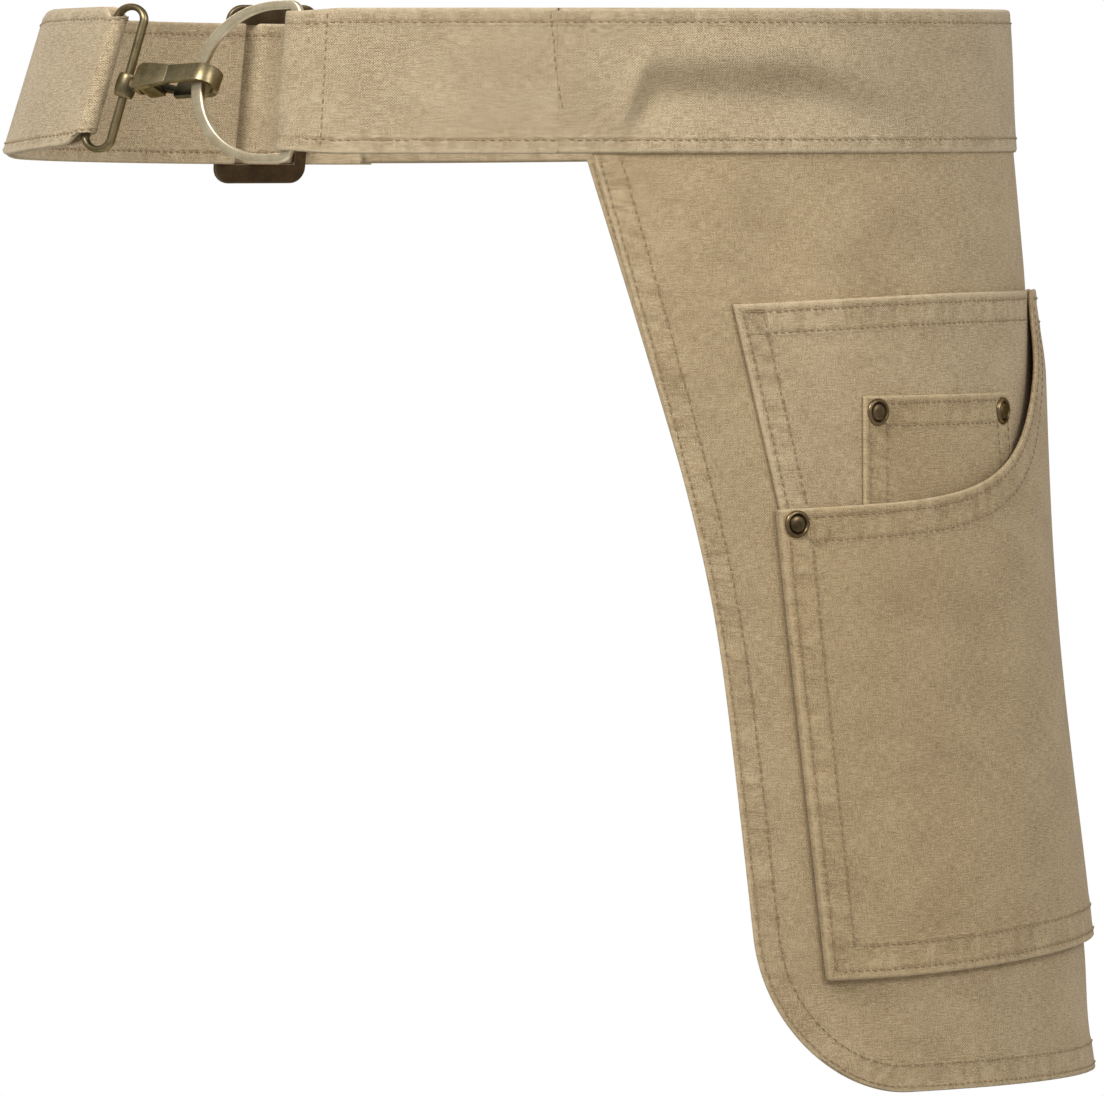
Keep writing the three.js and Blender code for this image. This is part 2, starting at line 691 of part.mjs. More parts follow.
// The strap's whole route, from the band's far end to its sewn tail.
function strapRoute() {
  const bandEnd = LOOP_LENGTH + BAND_FAR_END - 2 * SEAM_GAP;
  const atSlider = ({ along, out }) => ({
    distance: SLIDER_AT + along,
    out: out + sliderLevel(along),
  });
  const legCount = Math.round((SLIDER_AT + FIXED_PASS_IN[0].along - STRAP_FOLD_AT) / STRAP_STEP);
  const legs = spread(SLIDER_AT + FIXED_PASS_IN[0].along, STRAP_FOLD_AT, legCount);
  const outer = legs.slice(1).map((distance) => ({ distance, out: strapLeg(distance) }));
  const fold = spread(0, Math.PI, TURN_STEPS).map((angle) => ({
    distance: STRAP_FOLD_AT - STRAP_FOLD_RADIUS * Math.sin(angle),
    out: STRAP_FOLD_RADIUS * Math.cos(angle),
  }));
  const inner = outer.slice(0, -1).reverse();
  const turn = spread(0, Math.PI, TURN_STEPS).map((angle) => ({
    along: FIXED_TURN_AT + PASS_CLOSE * Math.sin(angle),
    out: -PASS_CLOSE * Math.cos(angle),
  }));
  const way = [
    { distance: bandEnd, out: TAB_MIDDLE },
    ...RUNNING_PASS.map(atSlider),
    ...outer.slice(0, -1),
    ...fold,
    ...inner.map(({ distance, out }) => ({ distance, out: -out })),
    ...FIXED_PASS_IN.map(atSlider),
    ...turn.map(atSlider),
    ...TAIL_SHARES.map((share) => atSlider({ along: -share * STRAP_TAIL, out: PASS_CLOSE })),
  ];
  return way.map((spot) => new THREE.Vector3(spot.distance, spot.out, 0));
}

function buildStrap() {
  const route = new THREE.CatmullRomCurve3(strapRoute(), false, "centripetal");
  const samples = route.points.length * STRAP_STEPS_PER_STRETCH;
  const stations = spread(0, 1, samples).map((share) => {
    const { x: distance, y: out } = route.getPoint(share);
    return { distance, out, line: strapLine(distance), half: strapHalf(distance) };
  });
  addPiece(apron, "strap", ribbon(stations, STRAP_THICKNESS), canvas);
}

// Group whose x and z axes follow two directions, the z axis exactly.
function placedGroup(origin, xHint, zAxis) {
  const z = zAxis.clone().normalize();
  const y = z.clone().cross(xHint).normalize();
  const x = y.clone().cross(z);
  const group = new THREE.Group();
  group.position.copy(origin);
  group.quaternion.setFromRotationMatrix(new THREE.Matrix4().makeBasis(x, y, z));
  apron.add(group);
  group.updateMatrixWorld(true);
  return group;
}

// The slider's plate lies in its own x (along the strap) and z (across it).
function buildSlider() {
  const frame = loopFrame(SLIDER_AT);
  const origin = frame.point.clone();
  origin.z = hang(SLIDER_AT);
  const group = placedGroup(origin, frame.onward, crossLine(frame, 0));
  const halfLength = SLIDER_LENGTH / 2;
  const halfHeight = SLIDER_HEIGHT / 2;
  const plate = roundedBox(-halfLength, -halfHeight, halfLength, halfHeight, SLIDER_CORNER);
  const slotEnd = halfLength - SLIDER_BAR;
  const slotHalf = SLIDER_SLOT_HEIGHT / 2;
  for (const side of [-1, 1]) {
    const edges = [side * (SLIDER_BAR / 2), side * slotEnd].sort((a, b) => a - b);
    plate.holes.push(roundedBox(edges[0], -slotHalf, edges[1], slotHalf, SLIDER_SLOT_CORNER));
  }
  const geometry = slab(plate, SLIDER_THICKNESS, SLIDER_CORNER_STEPS).rotateX(Math.PI / 2);
  addPiece(group, "slider", geometry, darkBronze);
}

// Rectangle with round corners.
function roundedBox(left, low, right, high, radius) {
  const shape = new THREE.Shape();
  shape.absarc(right - radius, high - radius, radius, 0, Math.PI / 2);
  shape.absarc(left + radius, high - radius, radius, Math.PI / 2, Math.PI);
  shape.absarc(left + radius, low + radius, radius, Math.PI, 1.5 * Math.PI);
  shape.absarc(right - radius, low + radius, radius, 1.5 * Math.PI, 2 * Math.PI);
  return shape;
}

// D outline with its straight side on x = 0, kept inside the outer outline by an inset at the
// bar and the bow, and by another one at the arms.
function ringOutline(inset, armInset) {
  const reach = RING_BOW_REACH - inset;
  const half = RING_HALF_HEIGHT - armInset;
  const back = -RING_BAR_WIDTH / 2 + inset;
  const quarter = Math.PI / 2;
  const shape = new THREE.Shape();
  shape.moveTo(back, -half);
  shape.lineTo(RING_BOW_CENTRE, -half);
  shape.absellipse(RING_BOW_CENTRE, 0, reach, half, -quarter, quarter);
  shape.lineTo(back, half);
  return shape;
}

function buildRing(group) {
  const outline = ringOutline(0, 0);
  outline.holes.push(ringOutline(RING_BAR_WIDTH, RING_ARM_WIDTH));
  const geometry = slab(outline, RING_BAR_THICKNESS, RING_SEGMENTS).rotateX(Math.PI / 2);
  addPiece(group, "d_ring", geometry, paleBrass);
}

// Oval of wire: its rear leg lies in the strap's fold, at the group's origin.
function buildWireLoop(group) {
  const radius = WIRE_LEG_GAP / 2;
  const straight = WIRE_HEIGHT / 2 - WIRE_RADIUS - WIRE_END_RISE;
  const points = [];
  const addPoint = (x, z) => points.push(new THREE.Vector3(x, 0, z));
  for (const end of [1, -1]) {
    for (const angle of spread(0, Math.PI, WIRE_END_STEPS)) {
      const rise = straight + WIRE_END_RISE * Math.sin(angle);
      addPoint(radius * (end * Math.cos(angle) - 1), end * rise);
    }
    for (const share of WIRE_LEG_SHARES) {
      addPoint(-radius * (end + 1), end * straight * share);
    }
  }
  const path = new THREE.CatmullRomCurve3(points, true, "centripetal");
  const geometry = new THREE.TubeGeometry(path, WIRE_SEGMENTS, WIRE_RADIUS, WIRE_SIDES, true);
  addPiece(group, "wire_loop", geometry, antiqueBrass);
}

// The hook's J: a spine on the outer side, a round nose and a short tip.
function hookSpine() {
  const shape = new THREE.Shape();
  const root = BODY_FRONT - SPINE_ROOT;
  shape.moveTo(root, -NOSE_OUTER);
  shape.lineTo(NOSE_CENTRE, -NOSE_OUTER);
  shape.absarc(NOSE_CENTRE, 0, NOSE_OUTER, -Math.PI / 2, Math.PI / 2, false);
  shape.lineTo(NOSE_TIP, NOSE_OUTER);
  shape.lineTo(NOSE_TIP, NOSE_INNER);
  shape.lineTo(NOSE_CENTRE, NOSE_INNER);
  shape.absarc(NOSE_CENTRE, 0, NOSE_INNER, Math.PI / 2, -Math.PI / 2, true);
  shape.lineTo(root, -NOSE_INNER);
  return slab(shape, HOOK_WIDTH, NOSE_STEPS);
}

// The hook's body as a whole block, which narrows inwards.
function hookBlock() {
  const half = HOOK_WIDTH / 2;
  const face = polygon([
    [BODY_REAR, -BODY_REAR_HALF],
    [BODY_SHOULDER, -BODY_WIDE_HALF],
    [BODY_WIDE_END, -BODY_WIDE_HALF],
    [BODY_FRONT, -half],
    [BODY_FRONT, half],
    [BODY_WIDE_END, BODY_WIDE_HALF],
    [BODY_SHOULDER, BODY_WIDE_HALF],
    [BODY_REAR, BODY_REAR_HALF],
  ]);
  const depth = BODY_INNER - BODY_OUTER;
  const block = slab(face, depth, 1).rotateX(Math.PI / 2);
  block.translate(0, (BODY_OUTER + BODY_INNER) / 2, 0);
  const spots = block.getAttribute("position");
  for (let i = 0; i < spots.count; i += 1) {
    const share = (spots.getY(i) - BODY_OUTER) / depth;
    spots.setZ(i, spots.getZ(i) * (1 - BODY_TAPER * share));
  }
  return block;
}

// Box between two corners.
function boxBetween(low, high) {
  const size = high.map((value, i) => value - low[i]);
  const middle = high.map((value, i) => (value + low[i]) / 2);
  return new THREE.BoxGeometry(...size).translate(...middle);
}

// Round bar along z at the gate's pivot.
function pivotBar(radius, length) {
  const bar = new THREE.CylinderGeometry(radius, radius, length, ROUND_SIDES);
  return bar.rotateX(Math.PI / 2).translate(GATE_PIVOT.along, GATE_PIVOT.inward, 0);
}

// A plate on the outer side that runs on as the hook, and two lugs at its rear for the gate's pin.
function buildHookBody(group) {
  const beyond = 2 * BODY_FRONT;
  const slotRear = BODY_REAR + LUG_WALL;
  const channel = boxBetween(
    [slotRear, PLATE_INNER, -GATE_SLOT_HALF],
    [beyond, beyond, GATE_SLOT_HALF],
  );
  const clearing = boxBetween([LUG_FRONT, PLATE_INNER, -beyond], [beyond, beyond, beyond]);
  const hole = pivotBar(PIN_HOLE_RADIUS, beyond);
  const lugs = solidOf(hookBlock()).subtract(solidOf(channel)).subtract(solidOf(clearing));
  const cut = lugs.add(solidOf(hookSpine())).subtract(solidOf(hole));
  addPiece(group, "hook_body", geometryOf(cut), antiqueBrass);
}

// The gate's arm turns between the lugs, with a thumb spur behind the pin, and widens to the front.
function buildGate(group) {
  const { along, inward } = GATE_PIVOT;
  const low = GATE_LINE - GATE_HALF_THICKNESS;
  const high = GATE_LINE + GATE_HALF_THICKNESS;
  const shape = polygon([
    [GATE_TIP, low],
    [GATE_TIP, high],
    [GATE_BEND, high],
    [along + GATE_HUB, inward + GATE_HUB],
    [along - GATE_HUB / 3, inward + GATE_HUB],
    [SPUR.front, SPUR.reach],
    [SPUR.rear, SPUR.reach],
    [SPUR.rear, inward + SPUR.heel],
    [along - GATE_HUB, inward - GATE_HUB / 3],
    [along - GATE_HUB / 2, inward - GATE_HUB],
    [along + GATE_HUB / 2, inward - GATE_HUB],
    [GATE_BEND, low],
  ]);
  const hole = new THREE.Path();
  hole.absarc(along, inward, PIN_HOLE_RADIUS, 0, 2 * Math.PI);
  shape.holes.push(hole);
  const arm = slab(shape, GATE_ARM_WIDTH, ROUND_SIDES / 2);
  const front = boxBetween(
    [GATE_BEND, low, -GATE_WIDTH / 2],
    [GATE_TIP, high, GATE_WIDTH / 2],
  );
  addPiece(group, "hook_gate", geometryOf(solidOf(arm).add(solidOf(front))), antiqueBrass);
  addPiece(group, "gate_pin", pivotBar(PIN_RADIUS, PIN_LENGTH), antiqueBrass);
}

// The eye is a sleeve round the wire loop's front leg, with a round neck behind the body.
function buildEye(group, wireLine) {
  const sleeve = new THREE.TorusGeometry(EYE_CORE, EYE_TUBE, EYE_STEPS.round, EYE_STEPS.ring);
  sleeve.scale(1, 1, EYE_HALF_HEIGHT / EYE_TUBE);
  const axis = wireLine.clone().normalize().applyQuaternion(group.quaternion.clone().invert());
  const upright = new THREE.Vector3(0, 0, 1);
  sleeve.applyQuaternion(new THREE.Quaternion().setFromUnitVectors(upright, axis));
  const length = NECK_FRONT - NECK_REAR;
  const neck = new THREE.CylinderGeometry(NECK_RADIUS, NECK_RADIUS * NECK_TAPER, length, ROUND_SIDES);
  neck.rotateZ(-Math.PI / 2).translate((NECK_FRONT + NECK_REAR) / 2, 0, 0);
  addPiece(group, "swivel_eye", geometryOf(solidOf(sleeve).add(solidOf(neck))), antiqueBrass);
}

// Everything between the ring tab and the strap's fold.
function buildFastening() {
  const tab = loopFrame(TAB_BAR);
  const fold = loopFrame(STRAP_FOLD_AT);
  const bar = tab.point.clone().addScaledVector(tab.out, TAB_MIDDLE);
  const leg = fold.point.clone();
  leg.z = hang(STRAP_FOLD_AT);
  const reach = leg.clone().sub(bar);
  const ringGroup = placedGroup(bar, reach, crossLine(tab, 0));
  const wireGroup = placedGroup(leg, reach, crossLine(fold, STRAP_FOLD_TILT));
  buildRing(ringGroup);
  buildWireLoop(wireGroup);
  const bow = RING_BOW_CENTRE + RING_BOW_REACH - RING_BAR_WIDTH / 2;
  const caught = ringGroup.localToWorld(new THREE.Vector3(bow, 0, HOOK_NOSE_RISE));
  const eye = wireGroup.localToWorld(new THREE.Vector3(-WIRE_LEG_GAP, 0, HOOK_EYE_RISE - leg.z));
  const length = caught.clone().sub(eye);
  const up = crossLine(tab, 0).addScaledVector(length, -length.z / length.lengthSq());
  up.applyAxisAngle(length.clone().normalize(), HOOK_ROLL);
  const hookGroup = placedGroup(eye, length, up);
  buildHookBody(hookGroup);
  buildGate(hookGroup);
  buildEye(hookGroup, crossLine(fold, STRAP_FOLD_TILT));
}

buildPanel();
buildPocketBacking();
buildPocketFront();
buildCoinPocket();
buildRivets();
buildWaistband();
buildRingTab();
buildStrap();
buildSlider();
buildFastening();

export default apron;
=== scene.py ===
"""Looks of the half waist apron: canvas, stitches, fastenings and a plain studio.

Metres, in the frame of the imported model: +X is the wearer's front, -Y the side of the snap hook, +Z up.
"""

import logging
import math
from contextlib import contextmanager
from dataclasses import dataclass, field
from enum import Enum
from functools import cache
from typing import Callable, Iterator, Sequence

import bmesh
import bpy
import numpy as np
from mathutils import Matrix, Vector


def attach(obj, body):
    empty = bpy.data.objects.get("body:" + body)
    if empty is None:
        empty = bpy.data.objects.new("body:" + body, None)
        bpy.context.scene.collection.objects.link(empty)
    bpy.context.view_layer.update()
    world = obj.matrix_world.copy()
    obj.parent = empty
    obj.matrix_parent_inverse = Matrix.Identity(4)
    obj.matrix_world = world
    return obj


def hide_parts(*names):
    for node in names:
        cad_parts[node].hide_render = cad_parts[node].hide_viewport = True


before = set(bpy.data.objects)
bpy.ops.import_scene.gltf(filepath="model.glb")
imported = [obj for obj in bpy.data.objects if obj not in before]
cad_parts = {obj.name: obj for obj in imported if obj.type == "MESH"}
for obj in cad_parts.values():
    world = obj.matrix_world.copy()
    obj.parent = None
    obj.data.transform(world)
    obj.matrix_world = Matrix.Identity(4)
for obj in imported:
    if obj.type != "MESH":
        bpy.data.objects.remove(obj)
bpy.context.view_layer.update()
LOG = logging.getLogger("apron")
Array = np.ndarray
Colour = tuple[float, float, float]
Material = bpy.types.Material
Piece = bpy.types.Object
Socket = bpy.types.NodeSocket
Pair = tuple[float, float]
Feeds = dict[int | str, object]

APRON_BODY = "apron"
GATE_BODY = "gate"
FLAT_MAP = "flat"
SEAM_MAP = "seam"
# Distances from the edges of a sheet and of a strip where their grids have rows close together.
SHEET_EDGE = (0.0, 0.0012, 0.0018, 0.0026, 0.0038, 0.0054)
STRIP_EDGE = (0.0, 0.0014, 0.0024, 0.0036)
# Distance of a strip's first and last column from its ends.
END_STEP = 0.0003
# How far a sheet's rounded rim stands out, and how far where another layer hides it.
SHEET_RIM = 0.0007
HIDDEN_RIM = 0.0003
# Slack of a test that a place lies on a plane.
NEARLY = 1e-5
ORIGIN = (0.0, 0.0, 0.0)
# Turn that stands a flat primitive up, with its face along y.
UPRIGHT = (math.pi / 2, 0, 0)


class Face(Enum):
    """The two faces of a sheet of cloth."""

    OUT = 1
    IN = -1


class Element(Enum):
    """What can be picked in an edited mesh."""

    VERTS = "verts"
    EDGES = "edges"
    FACES = "faces"


class Joining(Enum):
    """What a tool piece does to another piece."""

    ADD = "UNION"
    CUT = "DIFFERENCE"


def smooth(value: Array) -> Array:
    """Number from 0 to 1 that eases in and out."""
    t = np.clip(value, 0.0, 1.0)
    return t * t * (3 - 2 * t)


def unit(vectors: Array) -> Array:
    """The vectors at length 1."""
    return vectors / np.linalg.norm(vectors, axis=-1, keepdims=True)


def stacked(*parts: Array) -> Array:
    """Coordinates side by side as the last axis of one array."""
    return np.stack(np.broadcast_arrays(*parts), axis=-1)


def grid_of(across: Array, down: Array) -> Array:
    """The two coordinates of each spot of a grid, rows down and columns across."""
    return stacked(*np.meshgrid(across, down))


def length_along(line: Array) -> Array:
    """Length along a line at each of its points."""
    return np.concatenate([[0.0], np.cumsum(np.linalg.norm(np.diff(line, axis=0), axis=1))])


def between(at: Array, along: Array, values: Array) -> Array:
    """Values that are given at lengths along a line, at lengths between those."""
    return stacked(*(np.interp(at, along, column) for column in values.T))


def arc_length(angle: Array, forward: Array, sideways: Array, steps: int = 24) -> Array:
    """Length along an ellipse from its front to an angle.

    Args:
        angle: Angles from the front.
        forward: Half axis towards the front.
        sideways: Half axis towards the side.
        steps: Number of slices of the sum.

    Returns:
        The lengths.
    """
    turn = angle[..., None] * (np.arange(steps) + 0.5) / steps
    speed = np.hypot(forward[..., None] * np.sin(turn), sideways[..., None] * np.cos(turn))
    return speed.mean(-1) * angle


def angle_at_arc(arc: Array, forward: Array, sideways: Array, rounds: int = 8) -> Array:
    """Angle at a length along an ellipse, by Newton's method.

    Args:
        arc: Lengths from the front.
        forward: Half axis towards the front.
        sideways: Half axis towards the side.
        rounds: Number of corrections.

    Returns:
        The angles.
    """
    forward = np.broadcast_to(forward, np.shape(arc))
    sideways = np.broadcast_to(sideways, np.shape(arc))
    angle = arc / sideways
    for _ in range(rounds):
        speed = np.hypot(forward * np.sin(angle), sideways * np.cos(angle))
        angle = angle - (arc_length(angle, forward, sideways) - arc) / speed
    return angle


def nearest_on_line(points: Array, line: Array, chunk: int = 3000) -> tuple[Array, Array]:
    """Where on a line each point is nearest to, and how far from it.

    Args:
        points: Points of any grid shape, with two coordinates.
        line: Points of the line in order.
        chunk: Number of points that are looked at together.

    Returns:
        The length along the line, and the distance from it.
    """
    start = line[:-1]
    step = np.diff(line, axis=0)
    length = np.linalg.norm(step, axis=1)
    before = np.concatenate([[0.0], np.cumsum(length)[:-1]])
    flat = points.reshape(-1, 2)
    along = np.empty(len(flat))
    distance = np.empty(len(flat))
    for first in range(0, len(flat), chunk):
        part = flat[first:first + chunk, None]
        share = np.clip(((part - start) * step).sum(-1) / length**2, 0, 1)
        gap = np.linalg.norm(part - start - share[..., None] * step, axis=-1)
        best = gap.argmin(1)
        rows = np.arange(len(best))
        along[first:first + chunk] = before[best] + share[rows, best] * length[best]
        distance[first:first + chunk] = gap[rows, best]
    return along.reshape(points.shape[:-1]), distance.reshape(points.shape[:-1])


def resampled(line: Array, step: float) -> Array:
    """The line again, with points about a step apart."""
    along = length_along(line)
    return between(np.linspace(0, along[-1], max(2, int(along[-1] / step) + 1)), along, line)


def inset_runs(outline: Array, inset: float, step: float = 0.0006, shortest: float = 0.004) -> list[Array]:
    """Lines that stay at one distance inside an outline.

    Args:
        outline: Points of the outline, with the inside on its left.
        inset: Distance from the outline.
        step: Distance between the points.
        shortest: Length that a run has at least.

    Returns:
        Each unbroken run of points.
    """
    line = resampled(outline, step)
    tangent = unit(np.gradient(line, axis=0))
    moved = line + inset * stacked(-tangent[:, 1], tangent[:, 0])
    _, distance = nearest_on_line(moved, resampled(outline, 3 * step))
    kept = distance > inset - 0.25 * step
    cuts = np.flatnonzero(np.diff(kept.astype(int))) + 1
    runs = [run for run in np.split(np.arange(len(line)), cuts) if kept[run[0]]]
    return [moved[run] for run in runs if len(run) * step > shortest]


def edged_spread(low: float, high: float, count: int, near: Sequence[float]) -> Array:
    """Numbers from low to high that lie close together at both ends.

    Args:
        low: First number.
        high: Last number.
        count: Number of steps between the two dense ends.
        near: Distances from an end where the dense numbers lie.

    Returns:
        The numbers in order.
    """
    ends = np.asarray(near)
    middle = np.linspace(low + ends[-1], high - ends[-1], count + 1)
    return np.concatenate([low + ends[:-1], middle, (high - ends[:-1])[::-1]])


@dataclass(frozen=True)
class Swell:
    """A soft rise or hollow of the hanging cloth."""

    across: float
    height: float
    reach: float
    rise: float
    lift: float


@dataclass(frozen=True)
class SlowWave:
    """Slow waves of a worn strip: the product of two, each with its turns along, up and at the start."""

    lift: float
    first: tuple[float, float, float]
    second: tuple[float, float, float]

    def at(self, along: Array, height: Array) -> Array:
        """How far the waves move the strip out.

        Args:
            along: Lengths along the strip.
            height: Heights from its middle.

        Returns:
            The lift of each place.
        """
        waves = self.first, self.second
        one, two = (np.sin(along * run + height * rise + start) for run, rise, start in waves)
        return self.lift * (one * two)


@dataclass(frozen=True)
class Fold:
    """Extra thickness of a folded edge."""

    rise: float
    width: float
    fade: float

    def at(self, distance: Array) -> Array:
        """Extra thickness at a distance from the edge."""
        return self.rise * (1 - smooth((distance - self.width) / self.fade))


@dataclass(frozen=True)
class WaistForm:
    """The body that the apron is worn on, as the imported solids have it."""

    front_depth: float = 0.180
    back_depth: float = 0.1737
    half_width: float = 0.15875
    band_flare: float = 0.053
    side_flare: float = 0.05
    panel_flare: float = 0.0905
    back_lean: float = 0.251
    hollow_depth: float = 0.004
    hollow_top: float = -0.065
    hollow_length: float = 0.250
    hollow_sharpness: float = 1.5
    band_height: float = 0.051
    band_far_end: float = -0.322
    far_hang_fade: float = 0.40
    fold_at: float = 0.4336
    fold_taper: float = 0.018
    fold_rise: float = 0.002
    fold_tilt: float = 0.11
    far_hang: float = -0.0052
    hang_power: float = 1.8
    tab_bar: float = 0.345
    band_middle: float = -0.0003
    slider_at: float = 0.694
    slider_thickness: float = 0.002
    swell_fade: float = 0.02
    swells: tuple[Swell, ...] = (
        Swell(0.208, -0.072, 0.014, 0.040, 0.0009),
        Swell(0.176, -0.052, 0.016, 0.028, -0.0013),
        Swell(0.140, -0.050, 0.020, 0.018, 0.0012),
        Swell(0.196, -0.170, 0.012, 0.050, -0.0010),
        Swell(0.100, -0.225, 0.045, 0.035, -0.0012),
        Swell(0.055, -0.190, 0.030, 0.060, 0.0012),
        Swell(-0.070, -0.215, 0.040, 0.040, -0.0011),
        Swell(-0.150, -0.050, 0.022, 0.022, 0.0012),
        Swell(-0.200, -0.090, 0.016, 0.040, -0.0010),
        Swell(-0.120, -0.260, 0.035, 0.030, 0.0011),
        Swell(0.150, -0.335, 0.030, 0.018, 0.0010),
        Swell(0.010, -0.338, 0.040, 0.016, -0.0010),
    )

    @property
    def band_low(self) -> float:
        """Height of the band's lower edge."""
        return -self.band_height / 2

    @property
    def front_quarter(self) -> float:
        """Length of the loop from its centre front to its side."""
        return float(arc_length(np.array(math.pi / 2), np.array(self.front_depth), np.array(self.half_width)))

    @property
    def loop_length(self) -> float:
        """Length of the whole loop."""
        back = arc_length(np.array(math.pi / 2), np.array(self.half_width), np.array(self.back_depth))
        return 2 * (self.front_quarter + float(back))

    def hang(self, distance: Array) -> Array:
        """Height that a place on the loop hangs above or below the band's front.

        Args:
            distance: Lengths round the loop.

        Returns:
            The heights.
        """
        around = np.where(distance < 0, distance + self.loop_length, distance)
        far_end = self.loop_length + self.band_far_end
        to_go = np.maximum(0, far_end - around) / (far_end - self.fold_at)
        sunk = self.far_hang + (self.fold_rise - self.far_hang) * to_go**self.hang_power
        faded = sunk * (1 - smooth((around - far_end) / self.far_hang_fade))
        return np.where(around < self.fold_at - self.fold_taper, 0.0, faded)

    def on_loop(self, distance: Array) -> tuple[Array, Array, Array, Array]:
        """The loop at distances from the centre front.

        Args:
            distance: Lengths round the loop, growing towards the near side.

        Returns:
            The points, their outward and onward directions, and how far they lean out for each metre down.
        """
        distance = np.asarray(distance, float)
        side = np.where(distance < 0, -1.0, 1.0)
        length = np.abs(distance)
        ahead = length < self.front_quarter
        front = angle_at_arc(np.minimum(length, self.front_quarter), self.front_depth, self.half_width)
        back = angle_at_arc(np.maximum(length - self.front_quarter, 0), self.half_width, self.back_depth)
        x = np.where(ahead, self.front_depth * np.cos(front), -self.back_depth * np.sin(back))
        y = -side * self.half_width * np.where(ahead, np.sin(front), np.cos(back))
        depth = np.where(ahead, self.front_depth, self.back_depth)
        out = unit(stacked(x / depth**2, y / self.half_width**2, 0.0))
        onward = stacked(out[..., 1], -out[..., 0], 0.0)
        lean = self.band_flare + self.back_lean * np.maximum(0, -x / self.back_depth)
        return stacked(x, y, 0.0), out, onward, lean

    def cross_line(self, distance: Array, tilt: Array | float = 0.0) -> Array:
        """Upright line across the loop that leans with the body and may tilt along it."""
        _, out, onward, lean = self.on_loop(distance)
        return np.array([0.0, 0.0, 1.0]) - lean[..., None] * out - np.asarray(tilt)[..., None] * onward

    def station(self, distance: float, tilt: float = 0.0) -> tuple[Array, Array, Array, Array]:
        """One place on the loop, as high as it hangs there.

        Args:
            distance: Length round the loop.
            tilt: Tilt of the cross line along the loop.

        Returns:
            The point, its outward and onward directions and its cross line.
        """
        place = np.array([distance])
        point, out, onward, _ = self.on_loop(place)
        point[:, 2] += self.hang(place)
        return point[0], out[0], onward[0], self.cross_line(place, tilt)[0]

    def on_front(self, flat: Array) -> tuple[Array, Array]:
        """The front form at flat places of the panel's cut.

        Args:
            flat: Distances across from the centre front, and heights.

        Returns:
            The points of the panel's face and their outward directions.
        """
        across, z = flat[..., 0], flat[..., 1]
        drop = np.maximum(0, self.band_low - z)
        forward = self.front_depth - self.band_flare * np.maximum(z, self.band_low) + self.panel_flare * drop
        sideways = self.half_width - self.side_flare * z
        angle = angle_at_arc(across, forward, sideways)
        out = unit(stacked(np.cos(angle) / forward, -np.sin(angle) / sideways, 0.0))
        fall = np.clip((self.hollow_top - z) / self.hollow_length, 0, 1)
        sunk = self.hollow_depth * np.abs(np.sin(math.pi * fall)) ** self.hollow_sharpness
        lift = self.swell(flat) - sunk * np.cos(angle) ** 2
        point = stacked(forward * np.cos(angle), -sideways * np.sin(angle), z + self.hang(across))
        return point + out * lift[..., None], out

    def swell(self, flat: Array) -> Array:
        """Sum of the soft rises and hollows, which fade out under the band.

        Args:
            flat: Distances across from the centre front, and heights.

        Returns:
            How far each place is moved out.
        """
        lift = np.zeros(flat.shape[:-1])
        for spot in self.swells:
            far = ((flat[..., 0] - spot.across) / spot.reach) ** 2
            far += ((flat[..., 1] - spot.height) / spot.rise) ** 2
            lift += spot.lift * np.exp(-far)
        return lift * smooth((self.band_low - flat[..., 1]) / self.swell_fade)


class Cloth:
    """A sheet of cloth that goes from its flat cut to its worn form."""

    def faces(self, flat: Array) -> tuple[Array, Array]:
        """Points of the inner and of the outer face at flat places."""
        raise NotImplementedError

    def seam(self, flat: Array) -> Array:
        """Length along the hem and distance from it, at flat places."""
        raise NotImplementedError


